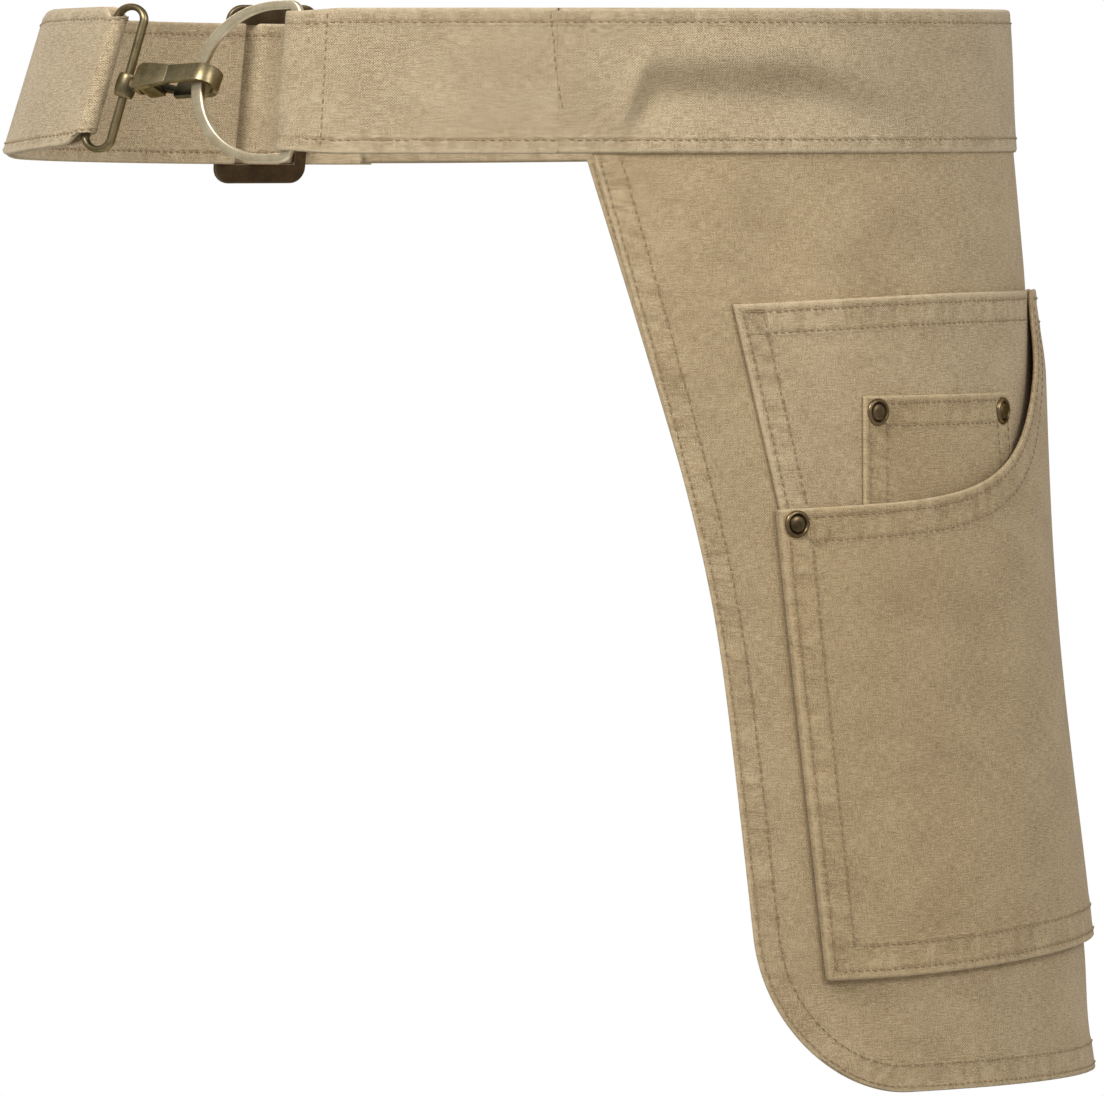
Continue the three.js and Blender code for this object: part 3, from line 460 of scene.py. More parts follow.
@dataclass
class Ribbon(Cloth):
    """A strip that runs round the loop along stations.

    Each station has its distance round the loop, its distance out, its cross line and half its width.
    """

    form: WaistForm
    distance: Array
    out: Array
    line: Array
    half: Array
    thickness: float
    relief: Callable[[Array], Array] = lambda flat: np.zeros(flat.shape[:-1])
    trim: Array | float = 0.0
    trim_power: float = 8

    def __post_init__(self) -> None:
        """Works out the middle line and its directions."""
        self.trim = np.broadcast_to(self.trim, np.shape(self.distance))
        point, out, onward, _ = self.form.on_loop(self.distance)
        self.middle = point + out * self.out[:, None]
        self.middle[:, 2] += self.form.hang(self.distance)
        turn = unit(stacked(np.gradient(self.distance), np.gradient(self.out)))
        self.normal = out * turn[:, :1] - onward * turn[:, 1:]
        self.along = length_along(self.middle)
        self.flat_half = float(self.half.max())

    @property
    def length(self) -> float:
        """Length of the strip's cut."""
        return float(self.along[-1])

    def along_at(self, distance: float) -> float:
        """Length along the strip where it first comes to a distance round the loop.

        Args:
            distance: The distance round the loop.

        Returns:
            The length from the strip's start.
        """
        passed = (self.distance - distance) * np.sign(self.distance[0] - distance) <= 0
        first = int(np.argmax(passed))
        share = (distance - self.distance[first - 1]) / (self.distance[first] - self.distance[first - 1])
        return float(self.along[first - 1] + share * (self.along[first] - self.along[first - 1]))

    def faces(self, flat: Array) -> tuple[Array, Array]:
        """The strip's two faces.

        Args:
            flat: Lengths along the strip, and heights from its middle.

        Returns:
            The points of the inner and of the outer face.
        """
        at, height = flat[..., 0], flat[..., 1]
        gathered = np.interp(at, self.along, self.half) / self.flat_half
        normal = unit(between(at, self.along, self.normal))
        edge = (np.abs(height) / self.flat_half) ** self.trim_power
        up = height * gathered - np.sign(height) * edge * np.interp(at, self.along, self.trim)
        middle = between(at, self.along, self.middle) + between(at, self.along, self.line) * up[..., None]
        middle = middle + normal * self.relief(flat)[..., None]
        return middle - normal * self.thickness / 2, middle + normal * self.thickness / 2

    def seam(self, flat: Array) -> Array:
        """Length along the strip, and distance from its nearer long edge."""
        return stacked(flat[..., 0] + self.length * (flat[..., 1] < 0), self.flat_half - np.abs(flat[..., 1]))

    def grid(self, rows: int, spacing: float | None = None) -> Array:
        """Flat places of the strip's grid, with rows close together at the long edges.

        Args:
            rows: Number of rows between the dense ones.
            spacing: Distance between the columns, which are at the stations without it.

        Returns:
            The places, rows from the top down.
        """
        columns = self.along
        if spacing:
            middle = np.linspace(0, self.length, int(self.length / spacing) + 1)[1:-1]
            columns = np.concatenate([[0, END_STEP], middle, [self.length - END_STEP, self.length]])
        return grid_of(columns, edged_spread(-self.flat_half, self.flat_half, rows, STRIP_EDGE)[::-1])

    def edge_rows(self, along: Array, inset: float) -> tuple[Array, Array]:
        """Flat lines along both long edges, the upper one first."""
        height = self.flat_half - inset
        return stacked(along, height), stacked(along, -height)


@dataclass
class ClothMesh:
    """Closed mesh of a sheet: two faces and a rounded rim."""

    rim_steps: int = 4

    def build(self, name: str, cloth: Cloth, flat: Array, rim: Sequence[float]) -> Piece:
        """Makes the mesh of a sheet.

        Args:
            name: Name of the piece.
            cloth: The sheet's form.
            flat: Flat places of the grid, rows from the top down.
            rim: How far the rim stands out along the top, last column, bottom and first column.

        Returns:
            The new object.
        """
        inner, outer = (face.reshape(-1, 3) for face in cloth.faces(flat))
        seam = cloth.seam(flat)
        rows, columns = flat.shape[:2]
        index = np.arange(rows * columns).reshape(rows, columns)
        border = self._border(index)
        inside = self._border(index, depth=1)
        middle = (outer + inner) / 2
        reach = (outer - inner) / 2
        half = np.linalg.norm(reach, axis=1, keepdims=True)
        tangent = unit(np.roll(middle[border], -1, axis=0) - np.roll(middle[border], 1, axis=0))
        away = unit(np.cross(tangent, reach[border]))
        away *= np.sign((away * (middle[border] - middle[inside])).sum())
        sides = np.repeat(rim, [columns, rows - 1, columns - 1, rows - 2])
        bulge = np.minimum(half[border][:, 0], sides)[:, None]
        for face in (inner, outer, middle):
            face[border] -= away * bulge
        cut = flat.reshape(-1, 2)
        seams = seam.reshape(-1, 2)
        beyond = unit(cut[border] - cut[inside])
        points = [outer, inner]
        cuts = [cut, cut]
        marks = [seams, seams]
        chain = [border]
        for step in range(1, self.rim_steps):
            turn = math.pi * step / self.rim_steps
            points.append(middle[border] + reach[border] * math.cos(turn) + away * bulge * math.sin(turn))
            cuts.append(cut[border] + beyond * half[border] * turn)
            marks.append(stacked(seams[border][:, 0], -half[border][:, 0] * turn))
            chain.append(2 * index.size + (step - 1) * len(border) + np.arange(len(border)))
        chain.append(index.size + border)
        faces = [self._quads(index), self._quads(index + index.size)[:, ::-1]]
        for first, second in zip(chain, chain[1:]):
            faces.append(stacked(first, second, np.roll(second, -1), np.roll(first, -1)))
        made = mesh_object(name, np.concatenate(points), np.concatenate(faces).tolist())
        self._mark(made.data, np.concatenate(cuts), np.concatenate(marks))
        return made

    @staticmethod
    def _border(index: Array, depth: int = 0) -> Array:
        """The grid's spots round its border, or those a step inside, in the same order."""
        top, low, first, last = index[depth], index[-1 - depth], index[:, depth], index[:, -1 - depth]
        return np.concatenate([top, last[1:], low[-2::-1], first[-2:0:-1]])

    @staticmethod
    def _quads(index: Array) -> Array:
        """The four spots of each cell of a grid."""
        corners = index[:-1, :-1], index[1:, :-1], index[1:, 1:], index[:-1, 1:]
        return np.stack([corner.ravel() for corner in corners], axis=1)

    @staticmethod
    def _mark(mesh: bpy.types.Mesh, cut: Array, seam: Array) -> None:
        """Stores what the cloth's finish reads.

        Args:
            mesh: The sheet's mesh.
            cut: Each vertex's flat place, for the texture map.
            seam: Each vertex's length along the hem and distance from it, for the attribute.
        """
        loops = np.empty(len(mesh.loops), int)
        mesh.loops.foreach_get("vertex_index", loops)
        layer = mesh.uv_layers.new(name=FLAT_MAP)
        layer.data.foreach_set("uv", cut[loops].ravel())
        marks = mesh.attributes.new(SEAM_MAP, "FLOAT_VECTOR", "POINT")
        marks.data.foreach_set("vector", stacked(seam[:, 0], seam[:, 1], 0.0).ravel())


def mesh_object(name: str, points: Array, faces: list) -> Piece:
    """A smooth mesh object at the origin, with its faces turned outwards.

    Args:
        name: Name of the object.
        points: Its vertices.
        faces: Its faces, as lists of vertex numbers.

    Returns:
        The new object.
    """
    mesh = bpy.data.meshes.new(name)
    mesh.from_pydata(points.tolist(), [], faces)
    sheet = bmesh.new()
    sheet.from_mesh(mesh)
    bmesh.ops.recalc_face_normals(sheet, faces=sheet.faces)
    sheet.to_mesh(mesh)
    sheet.free()
    mesh.polygons.foreach_set("use_smooth", [True] * len(mesh.polygons))
    made = bpy.data.objects.new(name, mesh)
    bpy.context.scene.collection.objects.link(made)
    return made


@dataclass
class Stitching:
    """Rows of stitches, each a short bent thread that dips into the cloth at both ends."""

    pitch: float = 0.0030
    length: float = 0.0024
    radius: float = 0.00024
    tip: float = 0.4
    bow: float = 1.5
    dip: float = 0.75
    jitter: float = 0.00008
    sway: float = 0.00007
    slant: float = 0.00022
    sides: int = 6
    rings: int = 5
    seed: int = 11
    points: list[Array] = field(default_factory=list)
    faces: list[Array] = field(default_factory=list)
    caps: list[Array] = field(default_factory=list)
    count: int = 0

    def follow(self, cloth: Cloth, flat: Array, face: Face, pitch: float | None = None) -> None:
        """Sews along a flat line.

        Args:
            cloth: The sheet that is sewn.
            flat: Flat places along the line, close together.
            face: The face that shows these stitches.
            pitch: Distance between stitches, if it isn't the usual one.
        """
        pitch = pitch or self.pitch
        inner, outer = cloth.faces(flat)
        normal = unit(outer - inner) * face.value
        line = outer if face is Face.OUT else inner
        along = length_along(line)
        number = int(along[-1] / pitch)
        if number == 0:
            return
        dice = np.random.default_rng(self.seed + self.count)
        length = self.length * pitch / self.pitch
        start = (np.arange(number) + 0.5) * pitch - length / 2 + dice.normal(0, self.jitter, number)
        share = np.linspace(0, 1, self.rings)
        at = start[:, None] + share * length
        spot = between(at, along, line)
        up = unit(between(at, along, normal))
        tangent = unit(np.gradient(spot, axis=1))
        side = np.cross(tangent, up)
        arch = np.sin(math.pi * share)
        slant = dice.normal(0, self.sway, number)[:, None] + (share - 0.5) * self.slant
        spot = spot + up * (self.radius * (self.bow * arch - self.dip))[:, None] + side * slant[..., None]
        turn = 2 * math.pi * np.arange(self.sides) / self.sides
        width = (self.radius * (self.tip + (1 - self.tip) * np.sqrt(arch)))[:, None, None]
        ring = side[:, :, None] * np.cos(turn)[:, None] + up[:, :, None] * np.sin(turn)[:, None]
        self._add(spot[:, :, None] + ring * width)

    def _add(self, tubes: Array) -> None:
        """Adds the threads of a row.

        Args:
            tubes: Their points by stitch, ring and side.
        """
        first = self.count + np.arange(tubes[..., 0].size).reshape(tubes.shape[:3])
        beside = np.roll(first, -1, axis=2)
        walls = first[:, :-1], beside[:, :-1], beside[:, 1:], first[:, 1:]
        self.faces.append(np.stack([wall.ravel() for wall in walls], axis=1))
        self.caps.append(np.concatenate([first[:, 0, ::-1], first[:, -1]]))
        self.points.append(tubes.reshape(-1, 3))
        self.count += tubes[..., 0].size

    def build(self, name: str) -> Piece:
        """Joins all the stitches to one piece."""
        faces = [face for part in self.faces + self.caps for face in part.tolist()]
        return mesh_object(name, np.concatenate(self.points), faces)


class Graph:
    """Writes the nodes of one material."""

    def __init__(self, name: str) -> None:
        """Starts a material with a bare surface shader.

        Args:
            name: Name of the material.
        """
        self.material = bpy.data.materials.new(name)
        self.material.use_nodes = True
        self.tree = self.material.node_tree
        self.tree.nodes.clear()
        self.shader = self.node("ShaderNodeBsdfPrincipled")
        output = self.node("ShaderNodeOutputMaterial")
        self.tree.links.new(self.shader.outputs["BSDF"], output.inputs["Surface"])

    def node(self, kind: str, feeds: Feeds | None = None, **settings: object) -> bpy.types.Node:
        """Adds a node.

        Args:
            kind: Its type.
            feeds: What its sockets get, by their number or name.
            settings: Its options.

        Returns:
            The node.
        """
        made = self.tree.nodes.new(kind)
        for name, value in settings.items():
            setattr(made, name, value)
        for socket, value in (feeds or {}).items():
            self.feed(made.inputs[socket], value)
        return made

    def feed(self, socket: Socket, value: object) -> None:
        """Links a socket to another one, or sets its value.

        Args:
            socket: The socket that is fed.
            value: Another node's socket, or a constant.
        """
        if isinstance(value, Socket):
            self.tree.links.new(value, socket)
        else:
            socket.default_value = value

    def surface(self, **values: object) -> None:
        """Feeds sockets of the surface shader, named with underscores for spaces."""
        for name, value in values.items():
            self.feed(self.shader.inputs[name.replace("_", " ")], value)

    def place(self) -> Socket:
        """Place of a point in the piece's own frame."""
        return self.node("ShaderNodeTexCoord").outputs["Object"]

    def math(self, operation: str, *values: object) -> Socket:
        """Result of a sum or other operation on numbers."""
        return self.node("ShaderNodeMath", dict(enumerate(values)), operation=operation).outputs[0]

    def parts(self, vector: Socket) -> tuple[Socket, ...]:
        """The three numbers of a vector."""
        return tuple(self.node("ShaderNodeSeparateXYZ", {0: vector}).outputs)

    def joined(self, *values: object) -> Socket:
        """A vector from its numbers."""
        return self.node("ShaderNodeCombineXYZ", dict(enumerate(values))).outputs[0]

    def scaled(self, vector: Socket, *scale: float) -> Socket:
        """A vector with each number multiplied."""
        return self.node("ShaderNodeVectorMath", {0: vector, 1: scale}, operation="MULTIPLY").outputs[0]

    def noise(self, vector: Socket, scale: float = 1.0, detail: float = 2.0) -> Socket:
        """Cloudy number around 0.5."""
        cloud = {"Vector": vector, "Scale": scale, "Detail": detail}
        return self.node("ShaderNodeTexNoise", cloud).outputs["Fac"]

    def hump(self, value: Socket, middle: float, reach: float) -> Socket:
        """Number that is 1 where a value is at the middle and falls to 0 on both sides."""
        far = self.math("DIVIDE", self.math("SUBTRACT", value, middle), reach)
        return self.math("EXPONENT", self.math("MULTIPLY", self.math("MULTIPLY", far, far), -1.0))

    def step(self, value: Socket, low: float, high: float) -> Socket:
        """Number that eases from 0 at low to 1 at high."""
        span = {"Value": value, "From Min": low, "From Max": high}
        return self.node("ShaderNodeMapRange", span, interpolation_type="SMOOTHSTEP").outputs["Result"]

    def total(self, *weighted: tuple[object, float]) -> Socket:
        """Sum of numbers.

        Args:
            weighted: Each number and its weight.

        Returns:
            The sum.
        """
        result: object = 0.0
        for value, weight in weighted:
            result = self.math("MULTIPLY_ADD", value, weight, result)
        return result

    def ramp(self, value: Socket, *stops: tuple[float, Colour]) -> Socket:
        """Colour that runs through stops.

        Args:
            value: Number that picks the colour.
            stops: Places from 0 to 1 with their colours.

        Returns:
            The colour.
        """
        made = self.node("ShaderNodeValToRGB", {"Fac": value})
        bar = made.color_ramp.elements
        while len(bar) < len(stops):
            bar.new(0.5)
        for element, (place, colour) in zip(bar, stops):
            element.position = place
            element.color = (*colour, 1.0)
        return made.outputs["Color"]

    def bump(self, height_mm: Socket, strength: float = 1.0) -> None:
        """Feeds the shader's normal from a relief in millimetres."""
        relief = {"Strength": strength, "Distance": 0.001, "Height": height_mm}
        self.surface(Normal=self.node("ShaderNodeBump", relief).outputs["Normal"])


def shade(colour: Colour, *factors: float) -> Colour:
    """A colour made lighter or darker, by one factor or by one for each part."""
    return tuple(np.minimum(1.0, np.multiply(colour, factors)).tolist())


@dataclass(frozen=True)
class CanvasFinish:
    """Plain woven cotton canvas with sewn and worn hems.

    The scales are spots for each metre across and up the cut, and the tints weigh what colours it.
    """

    name: str
    colour: Colour
    rows_mm: tuple[float, ...] = (2.0, 9.5)
    hem_mm: float = 10.5
    weave_mm: float = 1.0
    weft_tightness: float = 1.12
    pucker_mm: float = 9.0
    pucker_depth: float = 0.50
    stitch_mm: float = 3.0
    contrast: float = 2.1
    drift_scale: Pair = (170, 170)
    weft_scale: Pair = (230, 2100)
    warp_scale: Pair = (2100, 250)
    grain_scale: Pair = (2100, 2100)
    patch_scale: Pair = (34, 52)
    weft_tint: float = 0.82
    warp_tint: float = 0.64
    grain_tint: float = 1.40
    weave_tint: float = 0.26
    patch_tint: float = 0.68

    def material(self) -> Material:
        """Makes the material: yarns, slubs, patches, hem puckers with their light and shade painted into the
        colour, painted shade along the stitch rows, and worn edges.

        Returns:
            The material.
        """
        graph = Graph(self.name)
        cut = graph.node("ShaderNodeUVMap", uv_map=FLAT_MAP).outputs["UV"]
        marks = graph.node("ShaderNodeAttribute", attribute_name=SEAM_MAP).outputs["Vector"]
        along, inside, _ = graph.parts(graph.scaled(marks, 1000, 1000, 1000))
        drift = graph.noise(graph.scaled(cut, *self.drift_scale, 0), detail=1)
        across, up, _ = graph.parts(graph.scaled(cut, 1000, 1000, 0))
        turns = 2 * math.pi / self.weave_mm
        warp = graph.math("SINE", graph.total((across, turns), (drift, 3.0)))
        weft = graph.math("SINE", graph.total((up, turns * self.weft_tightness), (drift, 4.0)))
        weave = graph.math("MULTIPLY", warp, weft)
        weft_slub = graph.noise(graph.scaled(cut, *self.weft_scale, 0), detail=3)
        warp_slub = graph.noise(graph.scaled(cut, *self.warp_scale, 0), detail=2)
        grain = graph.noise(graph.scaled(cut, *self.grain_scale, 0), detail=1)
        patch = graph.noise(graph.scaled(cut, *self.patch_scale, 0), detail=3)
        hem = graph.math("SUBTRACT", 1.0, graph.step(inside, self.hem_mm - 0.4, self.hem_mm + 0.9))
        # The puckers' noise also paints their light and shade into the colour: lighter on the raised ridges,
        # darker in the hollows.
        run = graph.total((along, 1.0), (inside, 0.18))
        slanted = graph.joined(run, graph.total((inside, 0.35)), 0.0)
        rope = graph.noise(graph.scaled(slanted, *(1 / self.pucker_mm,) * 3), scale=2.0, detail=2)
        rope = graph.math("MULTIPLY", graph.math("SUBTRACT", rope, 0.5), hem)
        # Painted shade: each stitch row's groove darkens the colour as well as sinking the bump.
        groove: object = 0.0
        dimple: object = 0.0
        pulse = graph.math("SINE", graph.math("MULTIPLY", along, 2 * math.pi / self.stitch_mm))
        for row in self.rows_mm:
            groove = graph.math("ADD", groove, graph.hump(inside, row, 0.75))
            wide = graph.hump(inside, row, 1.6)
            dimple = graph.math("ADD", dimple, graph.math("MULTIPLY", wide, pulse))
        edge = graph.hump(inside, 0.0, 1.5)
        # Colour sum: rope paints the puckers' light and shade, groove paints shade along the stitch rows, and
        # edge is the lighter wear of folded edges.
        level = graph.total(
            (weft_slub, self.weft_tint * self.contrast), (warp_slub, self.warp_tint * self.contrast),
            (grain, self.grain_tint * self.contrast), (weave, self.weave_tint * self.contrast),
            (patch, self.patch_tint), (rope, 1.15), (groove, -0.16), (edge, 0.40),
        )
        cloudy = (self.weft_tint + self.warp_tint + self.grain_tint) * self.contrast + self.patch_tint
        level = graph.math("SUBTRACT", level, 0.5 * cloudy - 0.5)
        tint = graph.ramp(
            level,
            (0.0, shade(self.colour, 0.62, 0.58, 0.52)), (0.32, shade(self.colour, 0.87, 0.86, 0.83)),
            (0.5, self.colour), (0.68, shade(self.colour, 1.11, 1.13, 1.16)),
            (1.0, shade(self.colour, 1.36, 1.42, 1.52)),
        )
        relief_mm = graph.total(
            (weave, 0.045), (weft_slub, 0.11), (warp_slub, 0.07), (grain, 0.03), (groove, -0.22),
            (dimple, 0.035), (rope, self.pucker_depth * 2), (hem, 0.22), (patch, 0.22),
        )
        graph.surface(Base_Color=tint, Roughness=0.92, Sheen_Weight=0.18, Sheen_Roughness=0.5)
        graph.surface(Specular_IOR_Level=0.12)
        graph.bump(relief_mm)
        return graph.material


@dataclass(frozen=True)
class ThreadFinish:
    """Twisted sewing thread."""

    name: str
    colour: Colour

    def material(self) -> Material:
        """Makes the material, with the thread's twist as bump.

        Returns:
            The material.
        """
        graph = Graph(self.name)
        place = graph.place()
        fleck = graph.noise(place, 1800)
        x, y, z = graph.parts(graph.scaled(place, 1000, 1000, 1000))
        twist = graph.math("SINE", graph.total((x, 14.0), (y, 14.0), (z, 19.0)))
        tint = graph.ramp(fleck, (0.25, shade(self.colour, 0.7)), (0.75, shade(self.colour, 1.25)))
        graph.surface(Base_Color=tint, Roughness=0.75, Sheen_Weight=0.1, Specular_IOR_Level=0.25)
        graph.bump(graph.total((twist, 0.05), (fleck, 0.03)))
        return graph.material


@dataclass(frozen=True)
class MetalFinish:
    """Plated metal, duller in its hollows and brighter where it is rubbed."""

    name: str
    colour: Colour
    worn: Colour
    dull: Colour
    roughness: Pair = (0.28, 0.5)
    edge_tint: Colour = (0.50, 0.42, 0.28)
    scratch: float = 0.02

    def material(self) -> Material:
        """Makes the material: patina, rubbed edges and fine scratches.

        Returns:
            The material.
        """
        graph = Graph(self.name)
        place = graph.place()
        cloud = graph.noise(place, 160, 4)
        fine = graph.noise(place, 900, 3)
        lines = graph.noise(graph.scaled(place, 240, 240, 3200))
        curving = graph.node("ShaderNodeNewGeometry").outputs["Pointiness"]
        rubbed = graph.step(curving, 0.50, 0.58)
        sunk = graph.step(curving, 0.49, 0.42)
        level = graph.total((cloud, 0.8), (fine, 0.35), (lines, 0.15), (rubbed, 0.45), (sunk, -0.35))
        level = graph.math("SUBTRACT", level, 0.15)
        tint = graph.ramp(level, (0.15, self.dull), (0.5, self.colour), (0.95, self.worn))
        polished, matt = self.roughness
        rough = graph.node("ShaderNodeMapRange", {"Value": level, "To Min": matt, "To Max": polished})
        graph.surface(Base_Color=tint, Metallic=1.0, Roughness=rough.outputs["Result"])
        graph.surface(Specular_Tint=(*self.edge_tint, 1.0))
        graph.bump(graph.total((fine, self.scratch), (lines, self.scratch)), 0.6)
        return graph.material


class Finish(Enum):
    """The finishes of the apron's pieces."""

    # One canvas throughout, and its colours here differ as painted light. The low pocket front and coin
    # pocket are darker for light fading downwards, and the higher backing is lighter for the brighter light
    # there. The strap is lighter for its lit near flap as well as for wear. The panel is warmed to paint the
    # warm bounced light in its shade.
    PANEL = CanvasFinish("panel_canvas", (0.441, 0.330, 0.192))
    POCKET = CanvasFinish("pocket_canvas", (0.420, 0.309, 0.173), rows_mm=(3.2, 11.6), hem_mm=12.6)
    BACKING = CanvasFinish("backing_canvas", (0.464, 0.352, 0.211), rows_mm=(3.0, 10.5), hem_mm=11.6)
    COIN = CanvasFinish("coin_canvas", (0.420, 0.309, 0.173), rows_mm=(2.6, 10.5), hem_mm=11.4)
    BAND = CanvasFinish("band_canvas", (0.444, 0.345, 0.215), rows_mm=(4.9,), hem_mm=6.0, pucker_depth=0.2)
    STRAP = CanvasFinish("strap_canvas", (0.512, 0.398, 0.249), rows_mm=(4.4,), hem_mm=5.4, contrast=2.7,
                         pucker_depth=0.15)
    THREAD = ThreadFinish("sewing_thread", (0.390, 0.268, 0.150))
    PALE_BRASS = MetalFinish("pale_brass", (0.63, 0.53, 0.35), (0.92, 0.83, 0.62), (0.50, 0.42, 0.27),
                             (0.30, 0.48), edge_tint=(1.0, 0.95, 0.85))
    ANTIQUE_BRASS = MetalFinish("antique_brass", (0.145, 0.120, 0.068), (0.38, 0.30, 0.165),
                                (0.060, 0.052, 0.034), (0.30, 0.52))
    GATE_GREY = MetalFinish("gate_grey", (0.075, 0.066, 0.047), (0.18, 0.155, 0.105),
                            (0.032, 0.028, 0.021), (0.32, 0.55))
    RIVET_BRASS = MetalFinish("rivet_brass", (0.090, 0.063, 0.033), (0.27, 0.195, 0.105),
                              (0.022, 0.016, 0.009), (0.30, 0.50))
    DARK_BRONZE = MetalFinish("dark_bronze", (0.105, 0.078, 0.050), (0.22, 0.165, 0.10),
                              (0.045, 0.033, 0.021), (0.35, 0.55))

    @cache
    def material(self) -> Material:
        """The finish's material, which is made once."""
        return self.value.material()


class Bench:
    """Starts, shapes and finishes hard pieces with Blender's own operators."""

    @staticmethod
    def clear() -> None:
        """Leaves nothing selected."""
        if bpy.context.object and bpy.context.object.mode != "OBJECT":
            bpy.ops.object.mode_set(mode="OBJECT")
        bpy.ops.object.select_all(action="DESELECT")

    @staticmethod
    @contextmanager
    def editing(piece: Piece) -> Iterator[None]:
        """Keeps a piece in edit mode with all of it selected at first.

        Args:
            piece: The piece that is edited.

        Returns:
            A context that leaves edit mode at its end.
        """
        Bench.clear()
        piece.select_set(True)
        bpy.context.view_layer.objects.active = piece
        bpy.ops.object.mode_set(mode="EDIT")
        bpy.ops.mesh.select_all(action="SELECT")
        yield
        bpy.ops.object.mode_set(mode="OBJECT")

    @staticmethod
    def take(name: str) -> Piece:
        """Names the primitive that was just added and settles its transform.

        Args:
            name: Name of the new piece.

        Returns:
            The piece.
        """
        piece = bpy.context.object
        piece.name = name
        piece.data.name = name
        bpy.ops.object.transform_apply(location=True, rotation=True, scale=True)
        return piece

    @staticmethod
    def block(name: str, middle: Sequence[float], size: Sequence[float]) -> Piece:
        """Starts a piece as a block.

        Args:
            name: Name of the new piece.
            middle: The block's middle.
            size: Its length, depth and height.

        Returns:
            The piece.
        """
        Bench.clear()
        bpy.ops.mesh.primitive_cube_add(size=1.0, location=middle)
        bpy.context.object.scale = size
        return Bench.take(name)

    @staticmethod
    def pick(kind: Element, test: Callable[[Vector], bool]) -> None:
        """Selects what has its middle where a test says so, in the edited mesh.

        Args:
            kind: What is selected.
            test: Says whether a place is wanted.
        """
        bpy.context.tool_settings.mesh_select_mode = [element is kind for element in Element]
        mesh = bpy.context.object.data
        shape = bmesh.from_edit_mesh(mesh)
        for part in [*shape.faces, *shape.edges, *shape.verts]:
            part.select = False
        for part in getattr(shape, kind.value):
            corners = [part.co] if kind is Element.VERTS else [corner.co for corner in part.verts]
            if test(sum(corners, Vector()) / len(corners)):
                part.select_set(True)
        bmesh.update_edit_mesh(mesh)

    @staticmethod
    def push(x: float = 0.0, y: float = 0.0, z: float = 0.0) -> None:
        """Extrudes what is selected."""
        bpy.ops.mesh.extrude_region_move(TRANSFORM_OT_translate={"value": (x, y, z)})

    @staticmethod
    def stretch(centre: Sequence[float], scale: Sequence[float]) -> None:
        """Scales what is selected about a centre."""
        bpy.ops.transform.resize(value=scale, center_override=centre)

    @staticmethod
    def slice(place: Sequence[float], normal: Sequence[float], **options: bool) -> None:
        """Cuts the whole edited mesh by a plane."""
        bpy.ops.mesh.select_all(action="SELECT")
        bpy.ops.mesh.bisect(plane_co=place, plane_no=normal, **options)

    @staticmethod
    def combine(piece: Piece, tool: Piece, joining: Joining) -> None:
        """Adds a tool piece to a piece, or cuts it away, and removes the tool piece.

        Args:
            piece: The piece that is changed.
            tool: The tool piece.
            joining: What the tool piece does.
        """
        Bench.clear()
        bpy.context.view_layer.objects.active = piece
        cut = piece.modifiers.new("combine", "BOOLEAN")
        cut.operation = joining.value
        cut.object = tool
        cut.solver = "EXACT"
        bpy.ops.object.modifier_apply(modifier=cut.name)
        bpy.data.objects.remove(tool)

    @staticmethod
    def finish(piece: Piece, place: Matrix, bevel: float, segments: int = 3) -> Piece:
        """Rounds a piece's edges, smooths it and moves it to its place.

        Args:
            piece: The piece, modelled in its own frame.
            place: Its frame.
            bevel: Width of the rounded edges, or 0.
            segments: Steps of the rounding.

        Returns:
            The piece.
        """
        with Bench.editing(piece):
            bpy.ops.mesh.remove_doubles(threshold=1e-6)
            bpy.ops.mesh.normals_make_consistent(inside=False)
        if bevel:
            rounding = piece.modifiers.new("round", "BEVEL")
            rounding.width = bevel
            rounding.segments = segments
            rounding.limit_method = "ANGLE"
            rounding.angle_limit = math.radians(35)
            rounding.use_clamp_overlap = True
            bpy.ops.object.modifier_apply(modifier=rounding.name)
        bpy.ops.object.shade_smooth_by_angle(angle=math.radians(38))
        piece.data.transform(place)
        Bench.clear()
        return piece


def place_of(origin: Array, along: Array, up: Array) -> Matrix:
    """Frame at a point.

    Args:
        origin: The point.
        along: Direction that the x axis follows as nearly as it can.
        up: Direction of the z axis.

    Returns:
        The frame as a matrix.
    """
    z = unit(np.asarray(up))
    y = unit(np.cross(z, along))
    made = np.eye(4)
    made[:3] = stacked(np.cross(y, z), y, z, origin)
    return Matrix(made.tolist())


def dress(piece: Piece, finish: Finish, node: str = "", body: str = APRON_BODY) -> Piece:
    """Gives a piece its finish and body, and hides the node that it replaces.

    Args:
        piece: The new piece.
        finish: Its finish.
        node: The node that it replaces, if any.
        body: The body that it rides on.

    Returns:
        The piece.
    """
    piece.data.materials.clear()
    piece.data.materials.append(finish.material())
    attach(piece, body)
    if node:
        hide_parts(node)
    LOG.info("%s: %d faces", piece.name, len(piece.data.polygons))
    return piece


